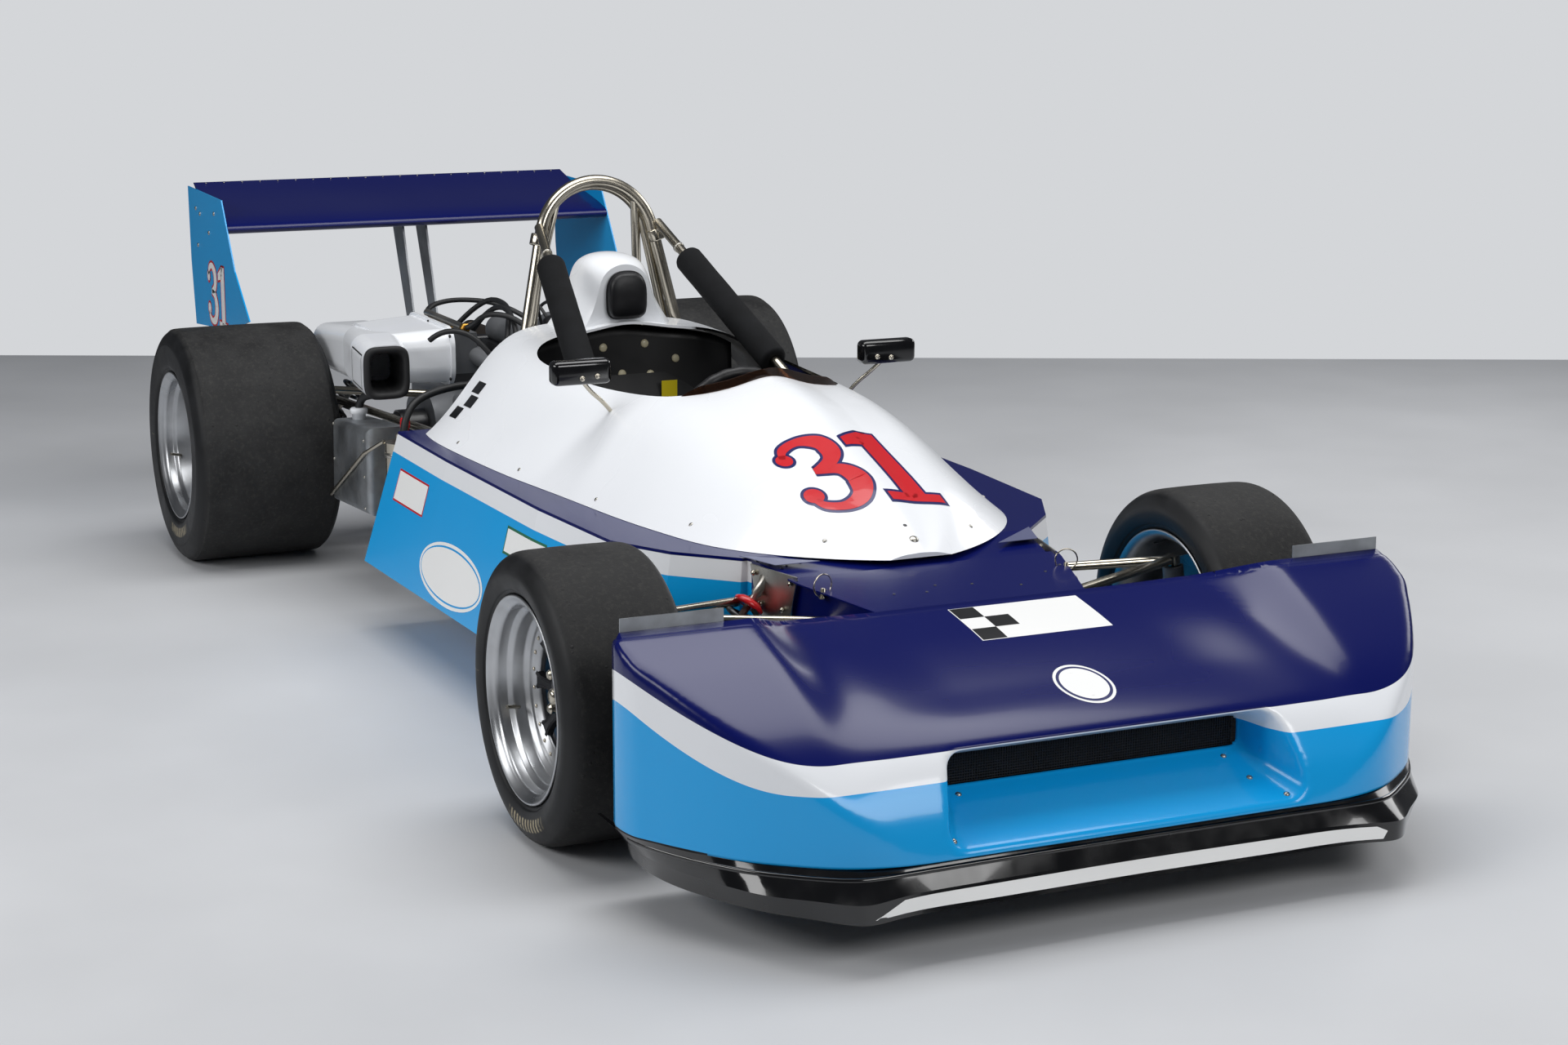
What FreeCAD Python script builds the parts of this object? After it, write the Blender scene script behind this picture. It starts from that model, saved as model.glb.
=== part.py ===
import FreeCAD, Part
import Sketcher
import math
import os

os.makedirs("parts", exist_ok=True)
doc = FreeCAD.newDocument("open_wheel_car")
V = FreeCAD.Vector

# Driving dimensions, millimetres
driving = {
    "wheelbase": 2413.0,
    "front_overhang": 803.0,
    "rear_overhang": 882.0,
    "front_track": 1286.0,
    "rear_track": 1246.0,
    "front_tyre_radius": 257.0,
    "rear_tyre_radius": 288.5,
    "front_tyre_half": 119.0,
    "rear_tyre_half": 180.0,
    "front_rim_half": 113.0,
    "rear_rim_half": 174.0,
    "rim_radius": 182.0,
    "stub_radius": 20.0,
    "hub_gap": 0.8,
    "disc_radius": 126.0,
    "disc_half": 6.0,
    "kingpin_offset": 74.0,
    "kingpin_lean": 7.0,
    "steer_arm": 100.0,
    "pin_radius": 5.0,
    "pin_gap": 6.5,
    "floor_height": 62.0,
    "chine_height": 155.0,
    "deck_height": 443.0,
    "pod_half": 487.0,
    "chine_half": 566.0,
    "engine_bay": 851.0,
    "pod_front": -98.0,
    "tub_wall": 8.0,
    "cowl_wall": 5.0,
    "nose_half": 744.0,
    "nose_wall": 5.0,
    "duct_half": 290.0,
    "nose_round": 16.0,
    "lip_round": 14.0,
    "hoop_radius": 13.5,
    "inner_hoop_radius": 10.5,
    "hoop_arch": 138.0,
    "hoop_top": 996.0,
    "pad_radius": 32.0,
    "wing_half": 534.0,
    "wing_chord": 384.0,
    "plate_thick": 3.5,
    "steering_radius": 122.0,
    "boss_bore": 10.0,
    "fit_gap": 1.0,
}
sheet = doc.addObject("Spreadsheet::Sheet", "sizes")
for row, (word, amount) in enumerate(driving.items(), 1):
    sheet.set("A%d" % row, word)
    sheet.set("B%d" % row, str(amount))
    sheet.setAlias("B%d" % row, word)
doc.recompute()


def val(word):
    return float(sheet.get(word))


axle_x = (val("wheelbase") + val("rear_overhang") - val("front_overhang")) / 2
rear_x = axle_x - val("wheelbase")
deck = val("deck_height")
tub_rear = val("engine_bay") - val("wheelbase")
kept = []

# Stations are given from the front axle on the car as drawn; tub and engine bay stretch with their own lengths
drawn_base = 2413.0
drawn_bay = 851.0
drawn_tub = drawn_bay - drawn_base


def at(x, y, z):
    if x >= 0:
        place = x
    elif x >= drawn_tub:
        place = x * tub_rear / drawn_tub
    elif x >= -drawn_base:
        place = tub_rear + (x - drawn_tub) * val("engine_bay") / drawn_bay
    else:
        place = x + drawn_base - val("wheelbase")
    return V(axle_x + place, y, z)


def piece(name, shape):
    made = doc.addObject("Part::Feature", name)
    made.Shape = shape
    kept.append(made)
    return made


def primitive(kind, name, place, axis=None, turn=0.0, **sizes):
    made = doc.addObject("Part::" + kind, name)
    for word, size in sizes.items():
        if isinstance(size, str):
            made.setExpression(word, size)
        else:
            setattr(made, word, size)
    swing = FreeCAD.Rotation(V(0, 0, 1), axis) if axis else FreeCAD.Rotation()
    made.Placement = FreeCAD.Placement(place, swing.multiply(FreeCAD.Rotation(V(0, 0, 1), turn)))
    return made


def joined(name, parts):
    made = doc.addObject("Part::MultiFuse", name)
    made.Shapes = parts
    made.Refine = True
    kept.append(made)
    return made


def hollowed(name, outer, inner):
    made = doc.addObject("Part::Cut", name)
    made.Base = outer
    made.Tool = inner
    kept.append(made)
    return made


def loop(points):
    return Part.makePolygon(list(points) + [points[0]])


def prism(points, direction):
    return Part.Face(loop(points)).extrude(direction)


def block(x1, x2, y1, y2, z1, z2):
    low = at(min(x1, x2), min(y1, y2), min(z1, z2))
    high = at(max(x1, x2), max(y1, y2), max(z1, z2))
    return Part.makeBox(high.x - low.x, high.y - low.y, high.z - low.z, low)


def rod(a, b, radius):
    return Part.makeCylinder(radius, (b - a).Length, a, b - a)


def pipe(points, radius, bend=40.0):
    parts = []
    start = points[0]
    for a, b, c in zip(points, points[1:], points[2:]):
        u = (a - b).normalize()
        w = (c - b).normalize()
        half = u.getAngle(w) / 2
        reach = min(bend / math.tan(half), 0.45 * min((a - b).Length, (c - b).Length))
        turn = reach * math.tan(half)
        first = b + u * reach
        centre = b + (u + w).normalize() * (turn / math.sin(half))
        ring = Part.Face(Part.Wire(Part.makeCircle(radius, first, u)))
        parts.append(rod(start, first, radius))
        parts.append(ring.revolve(centre, w.cross(u), 180 - math.degrees(2 * half)))
        start = b + w * reach
    parts.append(rod(start, points[-1], radius))
    return parts[0].multiFuse(parts[1:])


def fused(shapes):
    whole = shapes[0].multiFuse(shapes[1:])
    return whole.removeSplitter()


def mirrored(shape):
    return shape.mirror(V(0, 0, 0), V(0, 1, 0))


def both(name, shape_left):
    piece(name + "_left", shape_left)
    piece(name + "_right", mirrored(shape_left))


def pair(name, shape_left):
    piece(name, Part.Compound(shape_left.Solids + mirrored(shape_left).Solids))


def spline(points):
    curve = Part.BSplineCurve()
    curve.interpolate(points)
    return curve.toShape()


def smooth_loop(points):
    curve = Part.BSplineCurve()
    curve.interpolate(points, True)
    return Part.Wire(curve.toShape())


# Tub: pyramid section monocoque with side pods and a foot box
def tub_section(x, top, chine, floor_half, grow=0.0):
    z0 = val("floor_height") + grow
    z1 = val("chine_height")
    z2 = deck - grow
    right = [(floor_half, z0), (chine - grow, z1), (top - grow, z2)]
    left = [(-y, z) for y, z in reversed(right)]
    return loop([at(x, y, z) for y, z in right + left])


pod = val("pod_half")
chine = val("chine_half")
pod_shape = Part.makeLoft(
    [
        tub_section(drawn_tub, pod - 4, chine + 4, 405),
        tub_section(-1200, pod, chine - 4, 405),
        tub_section(-660, pod - 8, chine - 16, 400),
        tub_section(-330, 458, 512, 385),
        tub_section(-200, 392, 430, 340),
        tub_section(val("pod_front"), 296, 312, 260),
    ],
    True,
    True,
)
foot_box = Part.makeLoft(
    [
        loop([at(-99, y, z) for y, z in ((270, 70), (286, 120), (286, deck), (-286, deck), (-286, 120), (-270, 70))]),
        loop([at(262, y, z) for y, z in ((190, 100), (205, 140), (205, 411), (-205, 411), (-205, 140), (-190, 100))]),
    ],
    True,
    True,
)
tub = pod_shape.fuse(foot_box)
tub = tub.cut(block(-1440, -250, -262, 262, val("floor_height") + val("tub_wall"), deck + 50))
foot_room = Part.makeLoft(
    [
        loop([at(-251, y, z) for y, z in ((262, 80), (262, deck - 12), (-262, deck - 12), (-262, 80))]),
        loop([at(250, y, z) for y, z in ((180, 112), (180, 396), (-180, 396), (-180, 112))]),
    ],
    True,
    True,
)
tub = tub.cut(foot_room)

# Rack channel across the foot box
rack_x = val("steer_arm")
rack_z = 196.0
tub = tub.cut(Part.makeCylinder(24, 700, at(rack_x, -350, rack_z), V(0, 1, 0)))
piece("tub", tub.removeSplitter())

# Blue panel on the foot box between cowl and nose
panel = prism([at(44, 276, 0), at(276, 200, 0), at(276, -200, 0), at(44, -276, 0)], V(0, 0, 900))
skin_low = Part.makeLoft(
    [
        loop([at(-99, y, z) for y, z in ((300, deck), (300, deck + 3), (-300, deck + 3), (-300, deck))]),
        loop([at(262, y, z) for y, z in ((230, 411), (230, 414), (-230, 414), (-230, 411))]),
    ],
    True,
    True,
)
piece("scuttle_panel", panel.common(skin_low))


# Cowl: one-piece white cockpit shroud
def cowl_section(x, half, rise, crown, inset=0.0, drop=0.0):
    w = half - inset
    h = rise - inset
    base = deck + 0.6
    side = [(w, 0.0), (0.78 * w, 0.40 * h), (0.50 * w, crown * h), (0.22 * w, (0.35 + 0.65 * crown + 0.04) * h)]
    side = [(w, -drop)] + side[1:] if drop else side
    points = [V(0, y, z) for y, z in side]
    points.append(V(0, 0, h))
    points += [V(0, -y, z) for y, z in reversed(side)]
    points = [at(x, p.y, base + p.z) for p in points]
    return Part.Wire([spline(points), Part.makeLine(points[-1], points[0])])


cowl_stations = [
    (-1560, 424, 243, 0.86),
    (-1400, 448, 243, 0.86),
    (-1240, 446, 243, 0.84),
    (-1070, 437, 242, 0.82),
    (-880, 419, 241, 0.80),
    (-696, 397, 238, 0.79),
    (-540, 380, 224, 0.78),
    (-367, 352, 176, 0.78),
    (-200, 305, 118, 0.78),
    (-90, 228, 74, 0.78),
    (-20, 148, 38, 0.78),
    (30, 62, 9, 0.78),
]
cowl_outer = Part.makeLoft([cowl_section(*s) for s in cowl_stations], True)
wall = val("cowl_wall")
cowl_inner = Part.makeLoft([cowl_section(*s, inset=wall, drop=0.0) for s in cowl_stations[:-2]], True)
cowl_inner.translate(V(0, 0, -0.5))
rim_plan = [
    (-1374, 0), (-1372, 110), (-1362, 180), (-1335, 228), (-1290, 249), (-1200, 255), (-1100, 254), (-936, 242),
    (-815, 222), (-740, 204), (-690, 181), (-660, 146), (-640, 90), (-626, 39), (-622, 0),
]
rim_points = [at(x, y, 480) for x, y in rim_plan]
rim_points += [at(x, -y, 480) for x, y in reversed(rim_plan[1:-1])]
rim_cut = Part.Face(smooth_loop(rim_points)).extrude(V(0, 0, 400))


def hoop_line(y, z):
    return at(-1546.6 - 0.114 * (z - 668), y, z)


cowl_gap = val("hoop_radius") + 2 * val("fit_gap")
rear_low = hoop_line(0, 400).x + cowl_gap
rear_high = hoop_line(0, 760).x + cowl_gap
rear_cut = prism(
    [V(rear_low - 300, -500, 400), V(rear_low, -500, 400), V(rear_high, -500, 760), V(rear_high - 300, -500, 760)],
    V(0, 1000, 0),
)
cowl = cowl_outer.cut(cowl_inner).cut(rim_cut).cut(rear_cut)
piece("cowl", cowl.removeSplitter())


# Headrest fairing and pad
def fairing_section(x, foot, half, top, wall_in=0.0):
    base = deck + 205
    points = [
        (foot - wall_in, base), (half * 1.3 - wall_in, 700), (half - wall_in, 752),
        (half * 0.78 - wall_in * 0.7, top - 24 - wall_in * 0.7), (0, top - wall_in),
    ]
    ring = [at(x, y, z) for y, z in points]
    ring += [at(x, -y, z) for y, z in reversed(points[:-1])]
    return Part.Wire([spline(ring), Part.makeLine(ring[-1], ring[0])])


fairing_plan = [(-1526, 158, 91, 828), (-1460, 148, 85, 827), (-1402, 128, 63, 812)]
fairing = Part.makeLoft([fairing_section(*station) for station in fairing_plan], True)
fairing = fairing.cut(cowl_outer)
hollow_plan = [(-1534, 158, 91, 828, 5), (-1460, 148, 85, 827, 5), (-1412, 134, 68, 816, 5)]
fairing = fairing.cut(Part.makeLoft([fairing_section(*station) for station in hollow_plan], True))
piece("headrest_fairing", fairing)
pad = Part.makeBox(21, 94, 106, at(-1401.5, -47, 692))
pad = pad.makeFillet(34, [e for e in pad.Edges if abs(e.tangentAt(e.FirstParameter).x) > 0.9 and e.CenterOfMass.z > 750])
pad = pad.makeFillet(12, [e for e in pad.Edges if abs(e.tangentAt(e.FirstParameter).x) > 0.9 and e.CenterOfMass.z < 700])
pad = pad.makeFillet(6, [e for e in pad.Edges if abs(e.CenterOfMass.x - pad.BoundBox.XMax) < 0.01])
piece("headrest_pad", pad)


# Nose: full width chisel with a central duct
def nose_section(y, points, rear_low, inset=0.0):
    top = [at(x - inset, y, z - inset) for x, z in points]
    rear = at(points[-1][0] - inset, y, rear_low)
    front = at(points[0][0] - inset, y, rear_low)
    return Part.Wire([spline(top), Part.makeLine(top[-1], rear), Part.makeLine(rear, front), Part.makeLine(front, top[0])])


nose_mid = [(772, 158), (748, 232), (686, 313), (560, 357), (420, 396), (281, 422)]
nose_dip = [(772, 158), (750, 230), (694, 306), (590, 358), (460, 400), (300, 430)]
nose_wing = [(772, 158), (757, 218), (714, 282), (640, 345), (520, 412), (394, 467)]
half = val("nose_half")
nose_low = 152.0
stations = [
    (-half, nose_wing), (-600, nose_wing), (-500, nose_wing), (-400, nose_dip), (-220, nose_mid), (0, nose_mid),
    (220, nose_mid), (400, nose_dip), (500, nose_wing), (600, nose_wing), (half, nose_wing),
]
thick = val("nose_wall")
nose_outer = Part.makeLoft([nose_section(y, pts, nose_low) for y, pts in stations], True)
nose_inner = Part.makeLoft([nose_section(y, pts, nose_low - 20, thick) for y, pts in stations], True)


def plan_ring(z, inset, grow_corner=0.0):
    pts = [
        (774, 0), (774, 300), (768, 410), (746, 492), (698, 566), (628, 640), (510, 716), (430, half), (180, half),
    ]
    side = [at(x - inset, y - inset, z) for x, y in pts[1:]]
    side[-1] = at(180, half - inset, z)
    other = [V(p.x, -p.y, p.z) for p in reversed(side)]
    back = Part.makeLine(side[-1], other[0])
    front = Part.makeLine(other[-1], side[0])
    return Part.Wire([spline(side), back, spline(other), front])


plan = Part.Face(plan_ring(0, 0)).extrude(V(0, 0, 900))
plan_in = Part.Face(plan_ring(0, thick)).extrude(V(0, 0, 900))
nose_solid = nose_outer.common(plan)
shoulders = [e for e in nose_solid.Edges if e.BoundBox.ZMax > 440 and 300 < e.BoundBox.YLength < 500]
nose_soft = nose_solid.makeFillet(val("nose_round"), shoulders)


def soft_ring(place, a1, a2, b1, b2, c):
    k = c * (1 - math.sqrt(0.5))
    spots = [
        ((a1 + c, b1), (a2 - c, b1), (a2 - k, b1 + k)), ((a2, b1 + c), (a2, b2 - c), (a2 - k, b2 - k)),
        ((a2 - c, b2), (a1 + c, b2), (a1 + k, b2 - k)), ((a1, b2 - c), (a1, b1 + c), (a1 + k, b1 + k)),
    ]
    edges = []
    for i in range(4):
        start, end, mid = [place(a, b) for a, b in spots[i]]
        after = place(*spots[(i + 1) % 4][0])
        edges.append(Part.makeLine(start, end))
        edges.append(Part.Arc(end, mid, after).toShape())
    return Part.Wire(edges)


def duct_section(x, half_wide, low, high, round_by, grow=0.0):
    return soft_ring(
        lambda a, b: at(x, a, b), -half_wide - grow, half_wide + grow, low - grow, high + grow, round_by + grow
    )


throat = val("duct_half")
duct_plan = [
    (812, throat + 66, 146, 342, 30), (765, throat + 42, 164, 325, 30), (686, throat + 9, 193, 297, 24), (612, throat, 219, 270, 12),
]
duct_skin = 4.0
duct_in = Part.makeLoft([duct_section(*station) for station in duct_plan], True)
duct_out = Part.makeLoft([duct_section(*station, grow=duct_skin) for station in duct_plan], True)
opened = nose_soft.cut(duct_in)
face_edges = [e.hashCode() for f in opened.Faces if f.BoundBox.YLength > 1200 for e in f.Edges]
lips = [e for e in opened.Edges if e.hashCode() in face_edges and e.BoundBox.XMin > at(600, 0, 0).x and e.CenterOfMass.z > 200]
lips = [e for e in lips if abs(e.CenterOfMass.y) < throat + 55]
nose = opened.makeFillet(val("lip_round"), lips)
nose = nose.cut(nose_inner.common(plan_in).cut(duct_out))
nose = nose.cut(block(582, 612, 4 - throat, throat - 4, 222, 267))
piece("nose", nose)

# Grille at the back of the duct: a plate with a row of slots
grille = doc.addObject("PartDesign::Body", "grille")
plane = [f for f in grille.Origin.OriginFeatures if f.Role == "YZ_Plane"][0]


def rectangle(body, name, y1, y2, z1, z2, bound=None):
    sketch = body.newObject("Sketcher::SketchObject", name)
    sketch.AttachmentSupport = (plane, [""])
    sketch.MapMode = "FlatFace"
    corners = [(y1, z1), (y2, z1), (y2, z2), (y1, z2)]
    for a, b in zip(corners, corners[1:] + corners[:1]):
        sketch.addGeometry(Part.LineSegment(V(a[0], a[1], 0), V(b[0], b[1], 0)))
    for i in range(4):
        sketch.addConstraint(Sketcher.Constraint("Coincident", i, 2, (i + 1) % 4, 1))
        sketch.addConstraint(Sketcher.Constraint("Vertical" if i % 2 else "Horizontal", i))
    for i in (0, 2):
        sketch.addConstraint(Sketcher.Constraint("DistanceY", -1, 1, i, 1, corners[i][1]))
        across = sketch.addConstraint(Sketcher.Constraint("DistanceX", -1, 1, i, 1, corners[i][0]))
        if bound:
            sketch.setExpression("Constraints[%d]" % across, bound[i // 2])
    doc.recompute()
    return sketch


edge = "sizes.duct_half + 2"
plate_sketch = rectangle(grille, "grille_plate", -throat - 2, throat + 2, 214, 276, ["-(%s)" % edge, edge])
pad_plate = grille.newObject("PartDesign::Pad", "grille_pad")
pad_plate.Profile = plate_sketch
pad_plate.Length = 6
grille.Tip = pad_plate
doc.recompute()
slot_low = "-(sizes.duct_half - 6)"
slot_sketch = rectangle(grille, "grille_slot", 6 - throat, 24 - throat, 221, 268, [slot_low, slot_low + " + 18"])
slot = grille.newObject("PartDesign::Pocket", "grille_first_slot")
slot.Profile = slot_sketch
slot.Type = "ThroughAll"
slot.SideType = "Symmetric"
grille.Tip = slot
doc.recompute()
if slot.Shape.Volume >= pad_plate.Shape.Volume:
    raise RuntimeError("grille slot cut nothing")
row = grille.newObject("PartDesign::LinearPattern", "grille_row")
row.Originals = [slot]
row.Direction = (slot_sketch, ["H_Axis"])
row.setExpression("Length", "2 * sizes.duct_half - 30")
row.Occurrences = 23
grille.Tip = row
grille.Placement = FreeCAD.Placement(at(606, 0, 0), FreeCAD.Rotation())
doc.recompute()
if row.Shape.Volume > 0.6 * pad_plate.Shape.Volume:
    raise RuntimeError("grille row is short of slots")
kept.append(grille)

# Radiator behind the grille, carried by two tubes from the tub
core_width = "2 * sizes.duct_half - 8"
parts = [primitive("Box", "radiator_core", at(562, 4 - throat, 202), Length=44, Width=core_width, Height=86)]
for hand in (-1, 1):
    parts.append(primitive("Cylinder", "radiator_carrier_%d" % (hand + 1), at(262, hand * 150, 250), V(1, 0, 0), Radius=14, Height=300))
joined("radiator", parts)


# Splitter: black tray under the nose
tray_low = [
    (785, 0), (788, 300), (796, 440), (802, 487), (752, 545), (690, 600), (615, 645), (500, 690), (430, 700), (330, 690),
]
tray_mid = [
    (772, 0), (778, 300), (792, 440), (800, 490), (756, 548), (702, 606), (625, 652), (505, 700), (430, 712), (330, 700),
]
tray_high = [
    (758, 0), (758, 300), (757, 420), (740, 496), (690, 572), (622, 642), (505, 716), (430, 742), (380, 744), (330, 744),
]


def tray_ring(z, pts, inset):
    ring = [at(x - (inset if x > 340 else 0), y - inset if y > 310 else y, z) for x, y in pts]
    other = [V(p.x, -p.y, p.z) for p in reversed(ring[1:])]
    return Part.Wire([spline(other + ring), Part.makeLine(ring[-1], other[0])])


tray_out = Part.makeLoft([tray_ring(80, tray_low, 0), tray_ring(112, tray_mid, 0), tray_ring(151.5, tray_high, 0)], True, True)
tray_in = Part.makeLoft([tray_ring(86, tray_low, 7), tray_ring(112, tray_mid, 6), tray_ring(152, tray_high, 6)], True, True)
splitter = tray_out.cut(tray_in).common(block(330, 830, -800, 800, 40, 200))
splitter = splitter.cut(block(290, 420, -262, 262, 40, 200))
piece("splitter", splitter)

# Aluminium tabs on the rear edge of the nose
tab = prism([at(391, 548, 458), at(391, 727, 458), at(391, 727, 489), at(391, 548, 489)], V(2.5, 0, 0))
pair("nose_tabs", tab.cut(nose))

# Mirrors on thin stalks
mirror = Part.makeBox(38, 125, 50, at(-806, 279, 658))
mirror = mirror.makeFillet(7, [e for e in mirror.Edges if abs(e.tangentAt(e.FirstParameter).x) > 0.9])
mirror = mirror.cut(Part.makeBox(3, 113, 38, at(-806, 285, 664)))
stalk = pipe([at(-816, 258, 584), at(-808, 300, 636), at(-794, 338, 664)], 4.5, 20)
pair("mirrors", mirror.fuse(stalk).cut(cowl_outer))

# Roll hoop, a second hoop inside it, stays, forward braces and their foam pads
r = val("hoop_radius")
inner_r = val("inner_hoop_radius")
outer_slope = 0.22
inner_slope = 0.18


def hoop_path(arch, top, slope, foot_z):
    lean_in = math.atan(slope)
    centre = top - arch
    knee_y = arch * math.cos(lean_in)
    knee_z = centre + arch * math.sin(lean_in)
    foot_y = knee_y + slope * (knee_z - foot_z)
    corner_y = knee_y - slope * (top - knee_z)
    return [(foot_y, foot_z), (corner_y, top), (-corner_y, top), (-foot_y, foot_z)]


foot_top = deck + 0.5
outer_top = val("hoop_top") - r
behind = V(-20, 0, 0)
drop = math.sqrt((r + inner_r - 0.5) ** 2 - behind.Length ** 2)
outer_path = hoop_path(val("hoop_arch"), outer_top, outer_slope, foot_top + 3)
inner_path = hoop_path(val("hoop_arch") - drop, outer_top - drop, inner_slope, foot_top + 3)
hoop = pipe([hoop_line(y, z) for y, z in outer_path], r, val("hoop_arch"))
inner_hoop = pipe([hoop_line(y, z) + behind for y, z in inner_path], inner_r, val("hoop_arch") - drop)
foot_y = outer_path[0][0]
foot_plate = Part.makeBox(62, 84, 6, hoop_line(0, deck) + V(-40, foot_y - 56, 0.5))
stay = rod(hoop_line(96, 940), at(-1690, 150, 560), inner_r)
low_stay = rod(at(-1690, 150, 560), at(-1577, 212, 335), inner_r)
stay_foot = block(-1583, drawn_tub - 0.6, 190, 240, 305, 355)
stay_ball = Part.makeSphere(inner_r, at(-1690, 150, 560))
upper = at(-1558, 144, 885)
lower = at(-739, 277, deck - 5)
along = (lower - upper).normalize()
brace = rod(upper, lower, inner_r).cut(Part.makeBox(200, 200, 100, lower + V(-100, -100, 5.5 - 100)))
brace_foot = Part.makeBox(64, 44, 5, lower + V(-40, -10, 5.5))
clamp = rod(hoop_line(146, 842), hoop_line(139, 868), r + 5)
left_side = [foot_plate, stay, low_stay, stay_foot, stay_ball, brace, brace_foot, clamp]
right_side = [mirrored(shape) for shape in left_side]
piece("roll_hoop", fused([hoop, inner_hoop] + left_side + right_side))
for word, hand in (("left", 1), ("right", -1)):
    start = upper + along * 146
    start = V(start.x, hand * start.y, start.z)
    slant = V(along.x, hand * along.y, along.z)
    name = "brace_pad_" + word
    foam = primitive("Cylinder", name + "_foam", start, slant, Radius="sizes.pad_radius", Height=399)
    core = primitive("Cylinder", name + "_core", start - slant * 10, slant, Radius="sizes.inner_hoop_radius + 0.3", Height=419)
    hollowed(name, foam, core)

# Windscreen strip round the front of the opening
screen_plan = [
    (-800, 223), (-742, 207), (-688, 185), (-656, 149), (-635, 91), (-621, 39), (-617, 0),
]
ring = [at(x, y, 600) for x, y in screen_plan]
ring += [V(p.x, -p.y, p.z) for p in reversed(ring[:-1])]
inner_ring = [V(p.x - 3.5, p.y - 3.5 * (p.y > 1) + 3.5 * (p.y < -1), p.z) for p in ring]
screen = Part.Face(
    Part.Wire(
        [
            spline(ring),
            Part.makeLine(ring[-1], inner_ring[-1]),
            spline(list(reversed(inner_ring))),
            Part.makeLine(inner_ring[0], ring[0]),
        ]
    )
).extrude(V(0, 0, 200))
raised = cowl_outer.copy()
raised.translate(V(0, 0, 17))
taper = prism([at(-610, -300, 600), at(-610, -300, 702), at(-716, -300, 596)], V(0, 600, 0))
screen = screen.common(raised).common(taper).cut(cowl_outer)
piece("windscreen", max(screen.Solids, key=lambda solid: solid.Volume))

# Seat
seat_profile = [
    (-760, 70), (-800, 108), (-1060, 96), (-1150, 110), (-1230, 170), (-1425, 560), (-1440, 556),
    (-1250, 160), (-1160, 92), (-1060, 70),
]
seat = prism([at(x, -190, z) for x, z in seat_profile], V(0, 380, 0))
piece("seat", seat)

# Steering wheel and column
wheel_centre = at(-800, 0, 545)
lean = math.radians(16)
column_axis = V(math.cos(lean), 0, -math.sin(lean))
wheel_face = FreeCAD.Rotation(V(0, 0, 1), column_axis)
column = [
    primitive("Torus", "steering_rim", wheel_centre, column_axis, Radius1="sizes.steering_radius", Radius2=12),
    primitive("Cylinder", "steering_boss", wheel_centre + column_axis * 4, column_axis, Radius=34, Height=6),
    primitive("Cylinder", "steering_shaft", wheel_centre + column_axis * 8, column_axis, Radius=10, Height=552),
]
for turn in (90, 210, 330):
    corner = wheel_face.multVec(FreeCAD.Rotation(V(0, 0, 1), turn).multVec(V(0, -11, 0)))
    start = wheel_centre + column_axis * 5 + corner
    name = "steering_spoke_%d" % turn
    column.append(primitive("Box", name, start, column_axis, turn, Length="sizes.steering_radius - 4", Width=22, Height=4))
joined("steering_wheel", column)
sleeve_at = wheel_centre + column_axis * 300
sleeve = rod(sleeve_at, sleeve_at + column_axis * 40, 20)
sleeve = sleeve.fuse(Part.makeBox(24, 524, 16, sleeve_at + V(8, -262, -30)))
sleeve = sleeve.cut(rod(wheel_centre, wheel_centre + column_axis * 600, 10.3))
column_bearing = max(sleeve.Solids, key=lambda solid: solid.Volume)

# Rims and tyres
side_y = {"front": val("front_track") / 2, "rear": val("rear_track") / 2}


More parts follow.
